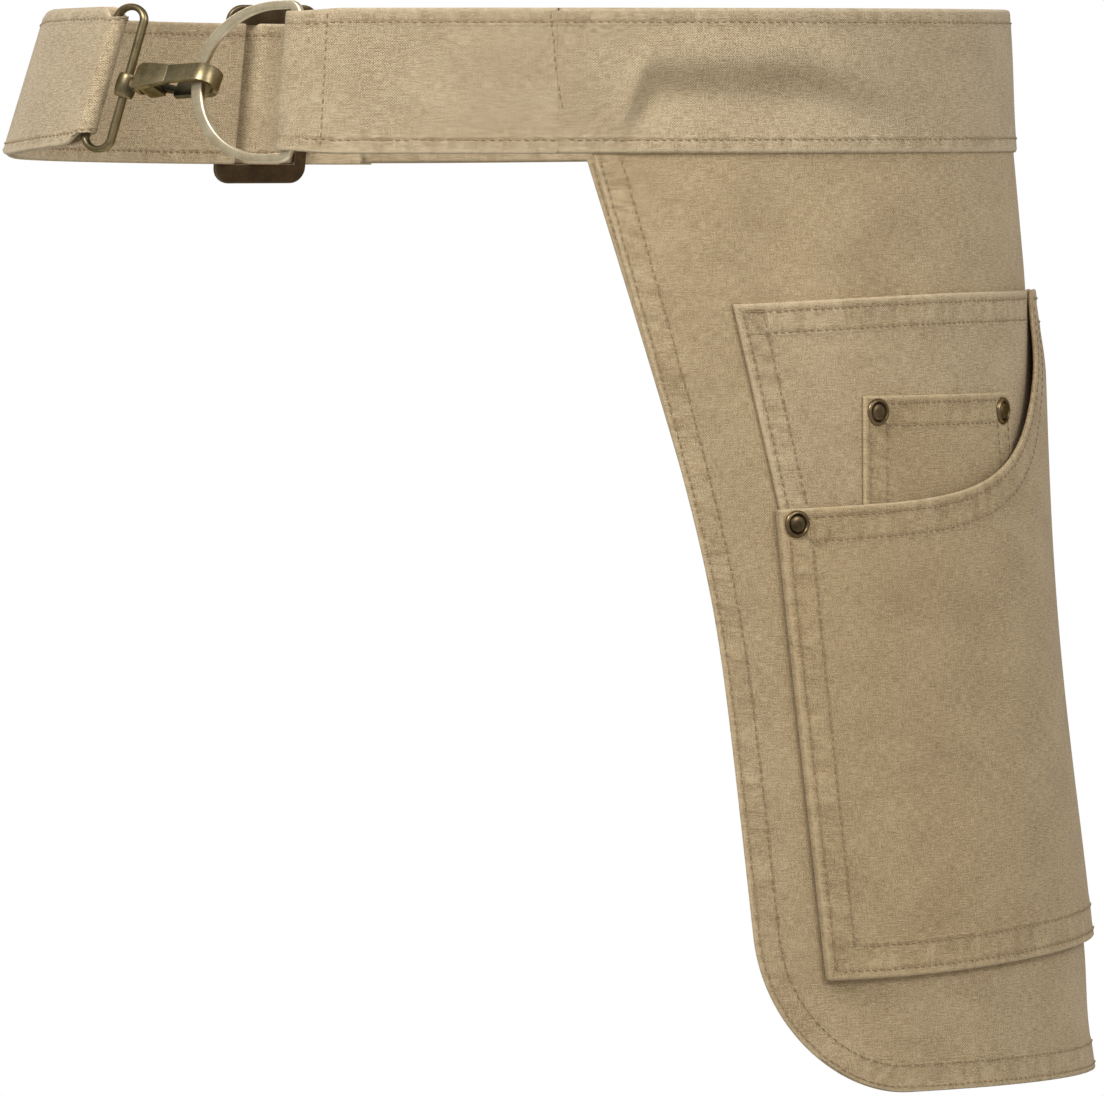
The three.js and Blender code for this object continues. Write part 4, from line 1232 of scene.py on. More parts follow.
@dataclass
class ApronPanel(Cloth):
    """The hanging panel with its folded and twice sewn hem."""

    form: WaistForm
    hem_height: float = -0.3556
    half_width: float = 0.212
    far_short: float = 0.008
    corner_radius: float = 0.056
    edge_slope: float = 0.178
    edge_turn: float = -0.1816
    edge_blend: float = 0.017
    tuck: float = 0.0012
    outer_lift: float = -0.00030
    inner_lift: float = -0.00110
    hem_fold: Fold = Fold(0.00030, 0.0105, 0.0012)
    rows: Pair = (0.0020, 0.0095)
    row_end: float = 0.0005
    side_rows: int = 96
    corner_rows: int = 30
    columns: int = 126

    def near(self, z: Array) -> Array:
        """Width of the near half of the panel's cut.

        Args:
            z: Heights.

        Returns:
            The width at each height.
        """
        turn = np.log1p(np.exp((z - self.edge_turn) / self.edge_blend))
        sides = self.half_width + self.edge_slope * self.edge_blend * turn
        sunk = np.clip((self.hem_height + self.corner_radius - z) / self.corner_radius, 0, 1)
        return sides - self.corner_radius * (1 - np.sqrt(1 - sunk**2))

    def far(self, z: Array) -> Array:
        """Width of the far half, which is shorter towards the hem."""
        fall = (self.form.band_low - z) / (self.form.band_low - self.hem_height)
        return self.near(z) - self.far_short * fall

    def heights(self) -> Array:
        """Heights of the grid's rows.

        Returns:
            The heights, from under the band to the hem.
        """
        corner = self.hem_height + self.corner_radius
        sides = np.linspace(self.form.band_low + self.tuck, corner, self.side_rows)
        turn = np.linspace(0, math.pi / 2, self.corner_rows)[1:]
        return np.concatenate([sides, corner - self.corner_radius * np.sin(turn)])

    def outline(self) -> Array:
        """The hemmed edge.

        Returns:
            Its points, from the far top round the hem to the near top.
        """
        heights = self.heights()
        near = stacked(self.near(heights), heights)
        return np.concatenate([stacked(-self.far(heights), heights), near[::-1]])

    def seam(self, flat: Array) -> Array:
        """Length along the hem and distance from it."""
        return stacked(*nearest_on_line(flat, self.outline()))

    def faces(self, flat: Array) -> tuple[Array, Array]:
        """The panel's two faces, thicker along the hem.

        Args:
            flat: Distances across from the centre front, and heights.

        Returns:
            The points of the inner and of the outer face.
        """
        point, out = self.form.on_front(flat)
        hem = self.hem_fold.at(self.seam(flat)[..., 1])
        outer = point + out * (self.outer_lift + hem)[..., None]
        return point + out * (self.inner_lift - hem)[..., None], outer

    def build(self) -> None:
        """Makes the panel and its stitches."""
        heights = self.heights()
        share = edged_spread(0, 1, self.columns, np.array(SHEET_EDGE) / (2 * self.half_width))
        near = self.near(heights)[:, None]
        flat = stacked(near - (near + self.far(heights)[:, None]) * share, heights[:, None])
        piece = ClothMesh().build("apron_panel_cloth", self, flat, (SHEET_RIM,) * 4)
        dress(piece, Finish.PANEL, "apron_panel")
        sewing = Stitching()
        for row in self.rows:
            for run in inset_runs(self.outline(), row):
                for face in Face:
                    sewing.follow(self, run[run[:, 1] < self.form.band_low - self.row_end], face)
        thread = dress(sewing.build("apron_panel_stitches"), Finish.THREAD)
        outline = self.outline()


@dataclass(frozen=True)
class PocketCut:
    """The shared outline of the pocket's layers, on the panel's flat cut."""

    layer_gap: float = 0.0004
    facet_gap: float = 0.00015
    thickness: float = 0.0011
    top: float = -0.075
    top_droop: float = 0.005
    top_level_share: float = 0.4
    half_width: float = 0.1866
    corner: float = -0.1502
    bottom_side: float = -0.3153
    bottom_centre: float = -0.3084
    backing_top_half: float = 0.1952
    backing_inset: float = 0.0018
    mouth_half: float = 0.026
    mouth_low_handle: Pair = (0.107, -0.146)
    mouth_high_handle: Pair = (0.0535, -0.154)
    mouth_bulge: float = 0.0028
    mouth_top_fade: float = 0.032
    mouth_side_power: float = 8
    mouth_rise_power: float = 0.8
    coin_front: float = 0.063
    coin_rear_top: float = 0.1468
    coin_rear_low: float = 0.1516
    coin_top: float = -0.1108
    coin_tuck: float = 0.007
    row_overlap: float = 0.001

    @property
    def backing_seat(self) -> float:
        """Lift of the backing's inner face over the panel."""
        return self.layer_gap + self.facet_gap

    @property
    def front_seat(self) -> float:
        """Lift of the front's inner face over the panel where it is sewn down."""
        return self.backing_seat + self.thickness + self.layer_gap

    def top_edge(self, across: Array) -> Array:
        """Height of the backing's top edge, which droops towards its outer corners."""
        share = np.abs(across) / self.backing_top_half
        return self.top - self.top_droop * smooth(share - self.top_level_share)

    def bottom_edge(self, across: Array) -> Array:
        """Height of the pocket's bottom edge."""
        share = smooth(np.abs(across) / self.half_width)
        return self.bottom_centre + (self.bottom_side - self.bottom_centre) * share

    def mouth_line(self, count: int = 160) -> Array:
        """The scooped edge of the pocket's near half.

        Args:
            count: Number of points.

        Returns:
            The points from the outer corner to the centre strip.
        """
        t = np.linspace(0, 1, count)[:, None]
        start = np.array([self.half_width, self.corner])
        end = np.array([self.mouth_half, self.top])
        low, high = np.array(self.mouth_low_handle), np.array(self.mouth_high_handle)
        return (1 - t) ** 3 * start + 3 * t * (1 - t) ** 2 * low + 3 * t**2 * (1 - t) * high + t**3 * end

    def mouth_height(self, across: Array) -> Array:
        """Height of the pocket front's upper edge."""
        line = self.mouth_line()[::-1]
        return np.interp(np.abs(across), line[:, 0], line[:, 1])


@dataclass
class PocketLayer(Cloth):
    """One layer of the pocket on the panel's front."""

    form: WaistForm
    cut: PocketCut
    edge_fold: Fold = Fold(0.00022, 0.0026, 0.002)
    rows: Pair = (0.0030, 0.0105)
    seat_gap: float = 0.00005
    seat_fade: float = 0.0017
    fewest_points: int = 6

    def sewn_line(self) -> Array:
        """The edge that is sewn down, with the inside on its left."""
        raise NotImplementedError

    def hem_line(self) -> Array:
        """The whole folded edge, with the inside on its left."""
        return self.sewn_line()

    def lifts(self, flat: Array) -> tuple[Array, Array]:
        """Lift of the inner and of the outer face over the panel."""
        raise NotImplementedError

    def seam(self, flat: Array) -> Array:
        """Length along the hem and distance from it."""
        return stacked(*nearest_on_line(flat, self.hem_line()))

    def faces(self, flat: Array) -> tuple[Array, Array]:
        """The layer's two faces.

        Args:
            flat: Distances across from the centre front, and heights.

        Returns:
            The points of the inner and of the outer face.
        """
        point, out = self.form.on_front(flat)
        low, high = self.lifts(flat)
        return point + out * low[..., None], point + out * high[..., None]

    def seated(self, flat: Array, low: Array, seat: float) -> Array:
        """The inner face's lift, brought down to its seat at the sewn edge."""
        _, distance = nearest_on_line(flat, self.sewn_line())
        return low + (seat - low) * (1 - smooth(distance / self.seat_fade))

    def sew(self, rows: Sequence[float], keep: Callable[[Array], Array], sewing: Stitching) -> None:
        """Sews rows inside the hem.

        Args:
            rows: Their distances from the edge.
            keep: Says which of a run's points get stitches.
            sewing: Takes the stitches.
        """
        for row in rows:
            for run in inset_runs(self.hem_line(), row):
                shown = keep(run)
                for part in np.split(np.arange(len(run)), np.flatnonzero(np.diff(shown.astype(int))) + 1):
                    if shown[part[0]] and len(part) > self.fewest_points:
                        sewing.follow(self, run[part], Face.OUT)


@dataclass
class PocketBacking(PocketLayer):
    """The layer behind the scooped mouth."""

    grid_rows: int = 74
    columns: int = 112
    grid_height: float = 0.235
    row_slack: float = 0.0002
    tack: Pair = (0.1915, 0.1825)
    tack_drops: Pair = (0.0022, 0.0030)
    tack_pitch: float = 0.0012

    def half(self, z: Array, top: Array) -> Array:
        """Half width of the layer.

        Args:
            z: Heights.
            top: Height of the top edge over them.

        Returns:
            The half width at each height.
        """
        near = self.cut.half_width - self.cut.backing_inset
        narrowing = np.minimum(1, (top - z) / (top - self.cut.corner))
        return self.cut.backing_top_half + (near - self.cut.backing_top_half) * narrowing

    def sewn_line(self) -> Array:
        """The folded edge.

        Returns:
            Its points up the near side, along the top and down the far side.
        """
        side_top = self.cut.top_edge(np.array(self.cut.backing_top_half))
        z = np.linspace(self.cut.bottom_side + self.cut.backing_inset, side_top, 90)
        near = stacked(self.half(z, side_top), z)
        across = np.linspace(self.cut.backing_top_half, -self.cut.backing_top_half, 160)[1:-1]
        top = stacked(across, self.cut.top_edge(across))
        return np.concatenate([near, top, near[::-1] * (-1, 1)])

    def lifts(self, flat: Array) -> tuple[Array, Array]:
        """A thin layer whose folded edge is thicker and meets the panel.

        Args:
            flat: Distances across from the centre front, and heights.

        Returns:
            Lift of the inner and of the outer face over the panel.
        """
        _, distance = nearest_on_line(flat, self.sewn_line())
        low = np.full(flat.shape[:-1], self.cut.backing_seat)
        high = low + self.cut.thickness + self.edge_fold.at(distance)
        return self.seated(flat, low, -self.seat_gap), high

    def build(self) -> None:
        """Makes the backing and its stitches."""
        cut = self.cut
        fall = edged_spread(0, 1, self.grid_rows, np.array(SHEET_EDGE) / self.grid_height)
        side = edged_spread(-1, 1, self.columns, np.array(SHEET_EDGE) / cut.half_width)[::-1]
        near = cut.half_width - cut.backing_inset
        low = cut.bottom_edge(side * near) + cut.backing_inset
        top = cut.top_edge(side * cut.backing_top_half)
        z = top + (low - top) * fall[:, None]
        flat = stacked(side * self.half(z, top), z)
        rims = (SHEET_RIM, SHEET_RIM, HIDDEN_RIM, SHEET_RIM)
        piece = ClothMesh().build("pocket_backing_cloth", self, flat, rims)
        dress(piece, Finish.BACKING, "pocket_backing")
        sewing = Stitching()

        def open_part(run: Array) -> Array:
            """Where the front doesn't hide the backing."""
            over_mouth = run[:, 1] > cut.mouth_height(run[:, 0]) + cut.row_overlap
            return over_mouth | (np.abs(run[:, 0]) > cut.half_width)

        self.sew(self.rows[:1], open_part, sewing)
        self._inner_rows(open_part, sewing)
        self._tack(sewing)
        thread = dress(sewing.build("pocket_backing_stitches"), Finish.THREAD)
        outline = self.sewn_line()

    def _inner_rows(self, open_part: Callable[[Array], Array], sewing: Stitching) -> None:
        """Sews the inner row of each side, which runs on to the outer row of the next side.

        Args:
            open_part: Says which of a run's points the front doesn't hide.
            sewing: Takes the stitches.
        """
        line = self.sewn_line()
        first, second = np.flatnonzero(np.abs(np.abs(line[:, 0]) - self.cut.backing_top_half) < 1e-6)
        for side in (line[:first + 1], line[first:second + 1], line[second:]):
            for run in inset_runs(side, self.rows[1]):
                _, distance = nearest_on_line(run, line)
                shown = open_part(run) & (distance > self.rows[0] - self.row_slack)
                if shown.any():
                    sewing.follow(self, run[shown], Face.OUT)

    def _tack(self, sewing: Stitching) -> None:
        """Sews close tacking stitches at the two upper corners.

        Args:
            sewing: Takes the stitches.
        """
        for side in (1, -1):
            for drop in self.tack_drops:
                across = side * np.linspace(*self.tack, 30)
                line = stacked(across, self.cut.top_edge(across) - drop)
                sewing.follow(self, line, Face.OUT, self.tack_pitch)


@dataclass
class PocketFront(PocketLayer):
    """The big pocket's front with its two scooped mouths."""

    edge_fold: Fold = Fold(0.00025, 0.0028, 0.0022)
    hem_layers: Fold = Fold(0.00018, 0.0122, 0.0015)
    rows: Pair = (0.0032, 0.0116)
    rims: tuple[float, ...] = (0.0008, 0.0009, 0.0009, 0.0009)
    scoop_steps: int = 64
    strip_steps: int = 22
    grid_rows: int = 66
    closest: float = 0.0012

    def sewn_line(self) -> Array:
        """The sewn edge.

        Returns:
            Its points down the far side, along the bottom and up the near side.
        """
        cut = self.cut
        z = np.linspace(cut.corner, cut.bottom_side, 60)
        far = stacked(np.full_like(z, -cut.half_width), z)
        across = np.linspace(-cut.half_width, cut.half_width, 140)[1:-1]
        bottom = stacked(across, cut.bottom_edge(across))
        return np.concatenate([far, bottom, far[::-1] * (-1, 1)])

    def hem_line(self) -> Array:
        """The whole outline.

        Returns:
            Its points, from the centre of the top edge round to it.
        """
        cut = self.cut
        near_top = np.concatenate([cut.mouth_line()[1:], [[0.0, cut.top]]])
        far_top = near_top[::-1] * (-1, 1)
        return np.concatenate([far_top, self.sewn_line(), near_top])

    def seam(self, flat: Array) -> Array:
        """Places by the hem, the same on both halves.

        Args:
            flat: Distances across from the centre front, and heights.

        Returns:
            The length along the hem from the centre of its bottom, and the distance from it.
        """
        line = self.hem_line()
        along, distance = nearest_on_line(flat, line)
        return stacked(np.abs(along - length_along(line)[-1] / 2), distance)

    def lifts(self, flat: Array) -> tuple[Array, Array]:
        """A layer that stands open at the mouth and meets the panel at the sewn edge.

        Args:
            flat: Distances across from the centre front, and heights.

        Returns:
            Lift of the inner and of the outer face over the panel.
        """
        cut = self.cut
        across, z = flat[..., 0], flat[..., 1]
        bottom = cut.bottom_edge(across)
        rise = np.clip((z - bottom) / (cut.mouth_height(across) - bottom), 0, 1)
        side = np.minimum(1, np.abs(across) / cut.half_width)
        open_share = (1 - side**cut.mouth_side_power) * rise**cut.mouth_rise_power
        open_share = open_share * smooth((cut.top - z) / cut.mouth_top_fade)
        low = cut.front_seat + cut.mouth_bulge * open_share
        _, distance = nearest_on_line(flat, self.hem_line())
        high = low + cut.thickness + self.edge_fold.at(distance) + self.hem_layers.at(distance)
        return self.seated(flat, low, self.seat_gap), high

    def build(self) -> None:
        """Makes the pocket's front and its stitches."""
        cut = self.cut
        mouth = cut.mouth_line(self.scoop_steps)[:, 0]
        ends = cut.half_width - np.array(SHEET_EDGE[:-1])
        scoop = np.concatenate([ends, mouth[mouth < ends[-1] - self.closest]])
        strip = np.linspace(cut.mouth_half, -cut.mouth_half, self.strip_steps)[1:-1]
        columns = np.concatenate([scoop, strip, -scoop[::-1]])
        bottom = cut.bottom_edge(columns)
        height = cut.mouth_height(columns) - bottom
        near = np.array(SHEET_EDGE)
        middle = near[-1] + (height - 2 * near[-1]) * np.linspace(0, 1, self.grid_rows)[:, None]
        rise = np.concatenate([np.broadcast_to(near[:-1, None], (len(near) - 1, len(columns))), middle,
                               height - near[:-1][::-1, None]])
        flat = stacked(columns, bottom + rise)[::-1]
        piece = ClothMesh().build("pocket_front_cloth", self, flat, self.rims)
        dress(piece, Finish.POCKET, "pocket_front")
        sewing = Stitching()
        self.sew(self.rows, lambda run: np.ones(len(run), bool), sewing)
        thread = dress(sewing.build("pocket_front_stitches"), Finish.THREAD)
        outline = self.hem_line()


@dataclass
class CoinPocket(PocketLayer):
    """The small pocket inside the near scoop."""

    edge_fold: Fold = Fold(0.00022, 0.0024, 0.002)
    rows: Pair = (0.0026, 0.0105)
    thinness: float = 0.8
    grid_rows: int = 26
    columns: int = 34
    grid_height: float = 0.045
    grid_width: float = 0.085

    def low_edge(self, across: Array) -> Array:
        """Height of its bottom, tucked under the pocket's front."""
        return self.cut.mouth_height(across) - self.cut.coin_tuck

    def sewn_line(self) -> Array:
        """The folded edge.

        Returns:
            Its points up the rear side, along the top and down the front side.
        """
        cut = self.cut
        rear_low = float(self.low_edge(np.array(cut.coin_rear_low)))
        rear = np.linspace([cut.coin_rear_low, rear_low], [cut.coin_rear_top, cut.coin_top], 50)
        top = np.linspace([cut.coin_rear_top, cut.coin_top], [cut.coin_front, cut.coin_top], 80)[1:-1]
        front_low = float(self.low_edge(np.array(cut.coin_front)))
        front = np.linspace([cut.coin_front, cut.coin_top], [cut.coin_front, front_low], 30)
        return np.concatenate([rear, top, front])

    def lifts(self, flat: Array) -> tuple[Array, Array]:
        """A layer on the backing whose folded edge meets it.

        Args:
            flat: Distances across from the centre front, and heights.

        Returns:
            Lift of the inner and of the outer face over the panel.
        """
        low = np.full(flat.shape[:-1], self.cut.front_seat)
        _, distance = nearest_on_line(flat, self.sewn_line())
        high = low + self.thinness * self.cut.thickness + self.edge_fold.at(distance)
        return self.seated(flat, low, self.cut.backing_seat + self.cut.thickness + self.seat_gap), high

    def build(self) -> None:
        """Makes the coin pocket and its stitches."""
        cut = self.cut
        fall = edged_spread(0, 1, self.grid_rows, np.array(SHEET_EDGE) / self.grid_height)
        share = edged_spread(0, 1, self.columns, np.array(SHEET_EDGE) / self.grid_width)
        rear = cut.coin_rear_top + (cut.coin_rear_low - cut.coin_rear_top) * fall[:, None]
        across = rear + (cut.coin_front - rear) * share
        z = cut.coin_top + (self.low_edge(across) - cut.coin_top) * fall[:, None]
        rims = (SHEET_RIM, SHEET_RIM, HIDDEN_RIM, SHEET_RIM)
        piece = ClothMesh().build("coin_pocket_cloth", self, stacked(across, z), rims)
        dress(piece, Finish.COIN, "coin_pocket")
        sewing = Stitching()
        self.sew(self.rows, lambda run: run[:, 1] > cut.mouth_height(run[:, 0]) - cut.row_overlap, sewing)
        thread = dress(sewing.build("coin_pocket_stitches"), Finish.THREAD)
        outline = np.concatenate([self.sewn_line(), stacked(across[-1], z[-1])[::-1]])


@dataclass(frozen=True)
class BandDent:
    """The band's worn dent above the panel's near side, under an arched brow."""

    depth: float = 0.0042
    slope: float = 0.0135
    foot: float = -0.0250
    foot_slope: float = 0.0220
    end: float = 0.090
    end_fade: float = 0.065
    arch: float = 0.0072
    near_drop: float = 0.026
    near_start: float = 0.2165
    near_reach: float = 0.0120
    far_drop: float = 0.0125
    far_start: float = 0.166
    far_reach: float = 0.055
    brow: float = 0.0017
    brow_rise: float = 0.0035
    brow_width: float = 0.0065
    brow_end: float = 0.2400
    brow_fade: float = 0.018

    def lift(self, distance: Array, height: Array, calm: Array) -> Array:
        """How far the dent and its brow move the band out.

        Args:
            distance: Lengths round the loop.
            height: Heights from the band's middle.
            calm: Share that falls to 0 at the band's edges.

        Returns:
            The lift of each place.
        """
        arch = self.arch - self.near_drop * smooth((distance - self.near_start) / self.near_reach)
        arch = arch - self.far_drop * smooth((self.far_start - distance) / self.far_reach)
        fade = smooth((distance - self.end) / self.end_fade)
        dent = smooth((arch - height) / self.slope) * smooth((height - self.foot) / self.foot_slope) * fade
        brow = np.exp(-(((height - arch - self.brow_rise) / self.brow_width) ** 2)) * fade
        brow = brow * calm * smooth((self.brow_end - distance) / self.brow_fade)
        return self.brow * brow - self.depth * dent


@dataclass
class Waistband:
    """The doubled band round the front."""

    form: WaistForm
    dent: BandDent = BandDent()
    wave: SlowWave = SlowWave(0.00035, (78, 0, 1.3), (31, 60, 0))
    outside: float = 0.0010
    inside: float = -0.0016
    near_seam: float = 0.2501
    seam_fade: float = 0.02
    row: float = 0.0049
    row_ends: Pair = (0.003, 0.001)
    slant: tuple[Pair, ...] = ((0.0002, -0.001), (0.0022, -0.0120))
    stations: int = 420
    grid_rows: int = 22
    spacing: float = 0.0024
    rims: tuple[float, ...] = (0.0010, 0.0, 0.0010, 0.0004)

    def relief(self, flat: Array) -> Array:
        """The dent and slow waves of the worn band.

        Args:
            flat: Lengths along the band, and heights from its middle.

        Returns:
            How far each place is moved out.
        """
        distance = flat[..., 0] + self.form.band_far_end
        height = flat[..., 1]
        calm = 1 - (height / (self.form.band_height / 2)) ** 2
        still = calm * smooth((self.near_seam - distance) / self.seam_fade)
        return self.dent.lift(distance, height, calm) + self.wave.at(distance, height) * still

    def build(self) -> None:
        """Makes the band and its stitches."""
        form = self.form
        distance = np.linspace(form.band_far_end, self.near_seam, self.stations)
        middle = np.full_like(distance, (self.outside + self.inside) / 2)
        half = np.full_like(distance, form.band_height / 2)
        thickness = self.outside - self.inside
        strip = Ribbon(form, distance, middle, form.cross_line(distance), half, thickness, self.relief)
        flat = strip.grid(self.grid_rows, self.spacing)
        piece = ClothMesh().build("waistband_cloth", strip, flat, self.rims)
        dress(piece, Finish.BAND, "waistband")
        sewing = Stitching()
        first, last = self.row_ends
        for line in strip.edge_rows(np.linspace(first, strip.length - last, 900), self.row):
            for face in Face:
                sewing.follow(strip, line, face)
        slanted = np.linspace(*((strip.length - back, height) for back, height in self.slant), 30)
        sewing.follow(strip, slanted, Face.OUT)
        thread = dress(sewing.build("waistband_stitches"), Finish.THREAD)


@dataclass
class RingTab:
    """The doubled strip at the band's near end that holds the ring."""

    form: WaistForm
    wave: SlowWave = SlowWave(0.00012, (90, 0, 0), (0, 160, 1))
    wave_start: float = 0.02
    thickness: float = 0.0012
    leg: float = 0.00065
    start: float = 0.2500
    closed: float = 0.326
    fold_radius: float = 0.0033
    fold_reach: float = 0.004
    narrowing: float = 0.001
    row: float = 0.0049
    row_ends: Pair = (0.0005, 0.004)
    cross_row: float = 0.3326
    cross_end: float = 0.001
    slant: tuple[Pair, ...] = ((0.0024, 0.0015), (0.0003, 0.025))
    grid_rows: int = 24
    spacing: float = 0.0018
    rims: tuple[float, ...] = (0.0006, 0.0, 0.0006, 0.0)

    def opened(self, distance: Array) -> Array:
        """How far the two legs have parted at a distance."""
        return smooth((distance - self.closed) / (self.form.tab_bar - self.closed))

    def strip(self) -> Ribbon:
        """The tab's form.

        Returns:
            A strip out along the band's outer side, round the bar and back inside.
        """
        form = self.form
        distance = np.linspace(self.start, form.tab_bar, 60)
        out = self.leg + (self.fold_radius - self.leg) * self.opened(distance)
        turn = np.linspace(0, math.pi, 25)[1:-1]
        path = np.concatenate([distance, form.tab_bar + self.fold_reach * np.sin(turn), distance[::-1]])
        lift = np.concatenate([out, self.fold_radius * np.cos(turn), -out[::-1]]) + form.band_middle
        half = form.band_height / 2 - self.narrowing * self.opened(path)
        return Ribbon(form, path, lift, form.cross_line(path), half, self.thickness, self.relief)

    def relief(self, flat: Array) -> Array:
        """Slow waves of the worn strip."""
        return self.wave.at(flat[..., 0], flat[..., 1]) * smooth(flat[..., 0] / self.wave_start)

    def build(self) -> None:
        """Makes the tab and its stitches."""
        strip = self.strip()
        flat = strip.grid(self.grid_rows, self.spacing)
        piece = ClothMesh().build("ring_tab_cloth", strip, flat, self.rims)
        dress(piece, Finish.BAND, "ring_tab")
        sewing = Stitching()
        first, last = self.row_ends
        along = np.linspace(first, strip.along_at(self.form.tab_bar - last), 260)
        outer_rows, inner_rows = (strip.edge_rows(run, self.row) for run in (along, strip.length - along))
        for outer, inner in zip(outer_rows, inner_rows):
            sewing.follow(strip, outer, Face.OUT)
            sewing.follow(strip, inner, Face.OUT)
        reach = strip.flat_half - self.cross_end
        cross = strip.along_at(self.cross_row)
        for place in (cross, strip.length - cross):
            sewing.follow(strip, stacked(place, np.linspace(reach, -reach, 90)), Face.OUT)
        slanted = np.linspace(*((along, strip.flat_half - drop) for along, drop in self.slant), 50)
        sewing.follow(strip, slanted, Face.OUT)
        thread = dress(sewing.build("ring_tab_stitches"), Finish.THREAD)


@dataclass
class Strap:
    """The adjusting strap: through the slider, round the wire loop and back to the slider."""

    form: WaistForm
    width: float = 0.052
    thickness: float = 0.0016
    leg: float = 0.0013
    fold_radius: float = 0.003
    tilt_fade: float = 0.090
    narrowing: float = 0.0016
    narrowing_fade: float = 0.060
    corner: float = 0.0038
    corner_fade: float = 0.009
    pinch: float = 0.0024
    pinch_reach: float = 0.016
    sewn_in: float = 0.004
    step: float = 0.009
    tail: float = 0.032
    tail_shares: tuple[float, ...] = (0.7, 1.0)
    level_reach: float = 0.019
    level_fade: float = 0.045
    pass_gap: float = 0.00055
    curve_radius: float = 0.176
    pass_end: float = -0.044
    fixed_start: float = -0.028
    fixed_turn: float = -0.0142
    turn_steps: int = 6
    samples: int = 10
    row: float = 0.0044
    row_end: float = 0.002
    grid_rows: int = 16
    rims: tuple[float, ...] = (0.0007, 0.0005, 0.0007, 0.0003)

    @property
    def close(self) -> float:
        """Distance out of a leg that lies against the slider."""
        return self.form.slider_thickness / 2 + self.thickness / 2 + self.pass_gap

    @property
    def over(self) -> float:
        """Distance out of a leg that lies over another one."""
        return self.close + self.thickness + self.pass_gap

    def running_pass(self) -> Array:
        """The running leg's way through the slider.

        Returns:
            Places along the slider and distances out.
        """
        return np.array([
            (0.030, 0.0012), (0.021, self.close), (0.014, self.close), (0.009, 0.0002),
            (0.004, -self.close), (-0.0035, -self.close), (-0.0065, 0.0004), (-0.0105, self.over),
            (-0.020, self.over), (-0.031, self.over - 0.0002), (self.pass_end, self.leg),
        ])

    def level(self, along: Array) -> Array:
        """Extra distance out that keeps the strap level with the flat slider."""
        reach = np.minimum(np.abs(along), self.level_reach)
        return reach**2 / (2 * self.curve_radius) * (1 - self.off_slider(along))

    def off_slider(self, along: Array) -> Array:
        """Share from 0 by the slider to 1 where the strap follows the loop again."""
        past = np.maximum(0, np.abs(along) - self.level_reach)
        return smooth(past / (self.level_fade - self.level_reach))

    def at_slider(self, places: Array) -> Array:
        """Places along the slider as places on the loop."""
        return stacked(self.form.slider_at + places[:, 0], places[:, 1] + self.level(places[:, 0]))

    def leg_out(self, distance: Array) -> Array:
        """Distance of a leg from the loop's line: it opens round the wire."""
        opened = 1 - smooth((distance - self.form.fold_at) / self.form.fold_taper)
        return self.leg + (self.fold_radius - self.leg) * opened

    def route(self) -> Array:
        """The strap's whole route.

        Returns:
            Places on the loop, from the band's far end to the sewn tail.
        """
        form = self.form
        band_end = form.loop_length + form.band_far_end + self.sewn_in
        start = form.slider_at + self.pass_end
        legs = np.linspace(start, form.fold_at, round((start - form.fold_at) / self.step) + 1)[1:-1]
        outer = stacked(legs, self.leg_out(legs))
        turn = np.linspace(0, math.pi, self.turn_steps + 1)
        fold = stacked(form.fold_at - self.fold_radius * np.sin(turn), self.fold_radius * np.cos(turn))
        fixed = np.array([(self.pass_end, -self.leg), (self.fixed_start, -self.close)])
        back = stacked(self.fixed_turn + self.close * np.sin(turn), -self.close * np.cos(turn))
        tail = stacked(-self.tail * np.array(self.tail_shares), self.close)
        return np.concatenate([
            [[band_end, form.band_middle]], self.at_slider(self.running_pass()), outer, fold,
            outer[::-1] * (1, -1), self.at_slider(fixed), self.at_slider(back), self.at_slider(tail),
        ])

    def curve(self) -> Array:
        """Smooth curve through the route, with a step that follows the square root of each gap.

        Returns:
            Places on the loop, close together.
        """
        spots = self.route()
        ends = np.concatenate([[2 * spots[0] - spots[1]], spots, [2 * spots[-1] - spots[-2]]])
        step = np.sqrt(np.linalg.norm(np.diff(ends, axis=0), axis=1))
        pieces = []
        for i in range(1, len(ends) - 2):
            before, first, second, after = ends[i - 1:i + 3]
            a, b, c = step[i - 1:i + 2]
            leave = b * ((first - before) / a - (second - before) / (a + b) + (second - first) / b)
            arrive = b * ((second - first) / b - (after - first) / (b + c) + (after - second) / c)
            t = np.linspace(0, 1, self.samples, endpoint=False)[:, None]
            bend = -3 * first + 3 * second - 2 * leave - arrive
            twist = 2 * first - 2 * second + leave + arrive
            pieces.append(first + t * (leave + t * (bend + t * twist)))
        return np.concatenate([*pieces, spots[-1:]])

    def line(self, distance: Array) -> Array:
        """The cross line: level with the slider there, and tilted at the fold.

        Args:
            distance: Lengths round the loop.

        Returns:
            The line at each length.
        """
        form = self.form
        behind = smooth((distance - form.fold_at) / self.tilt_fade)
        tilted = form.cross_line(distance, form.fold_tilt * (1 - behind))
        level = form.cross_line(np.array([form.slider_at]))
        return level + (tilted - level) * self.off_slider(distance - form.slider_at)[:, None]

    def strip(self) -> Ribbon:
        """The strap's form.

        Returns:
            A strip that narrows at the fold and is pinched behind.
        """
        distance, out = self.curve().T
        past = np.maximum(0, distance - self.form.fold_at)
        gathered = self.narrowing * (1 - np.minimum(1, past / self.narrowing_fade))
        rounded = self.corner * (1 - np.minimum(1, past / self.corner_fade)) ** 2
        behind = (distance - self.form.loop_length / 2) / self.pinch_reach
        trim = rounded + self.pinch * np.exp(-(behind**2))
        half = self.width / 2 - gathered
        return Ribbon(self.form, distance, out, self.line(distance), half, self.thickness, trim=trim)

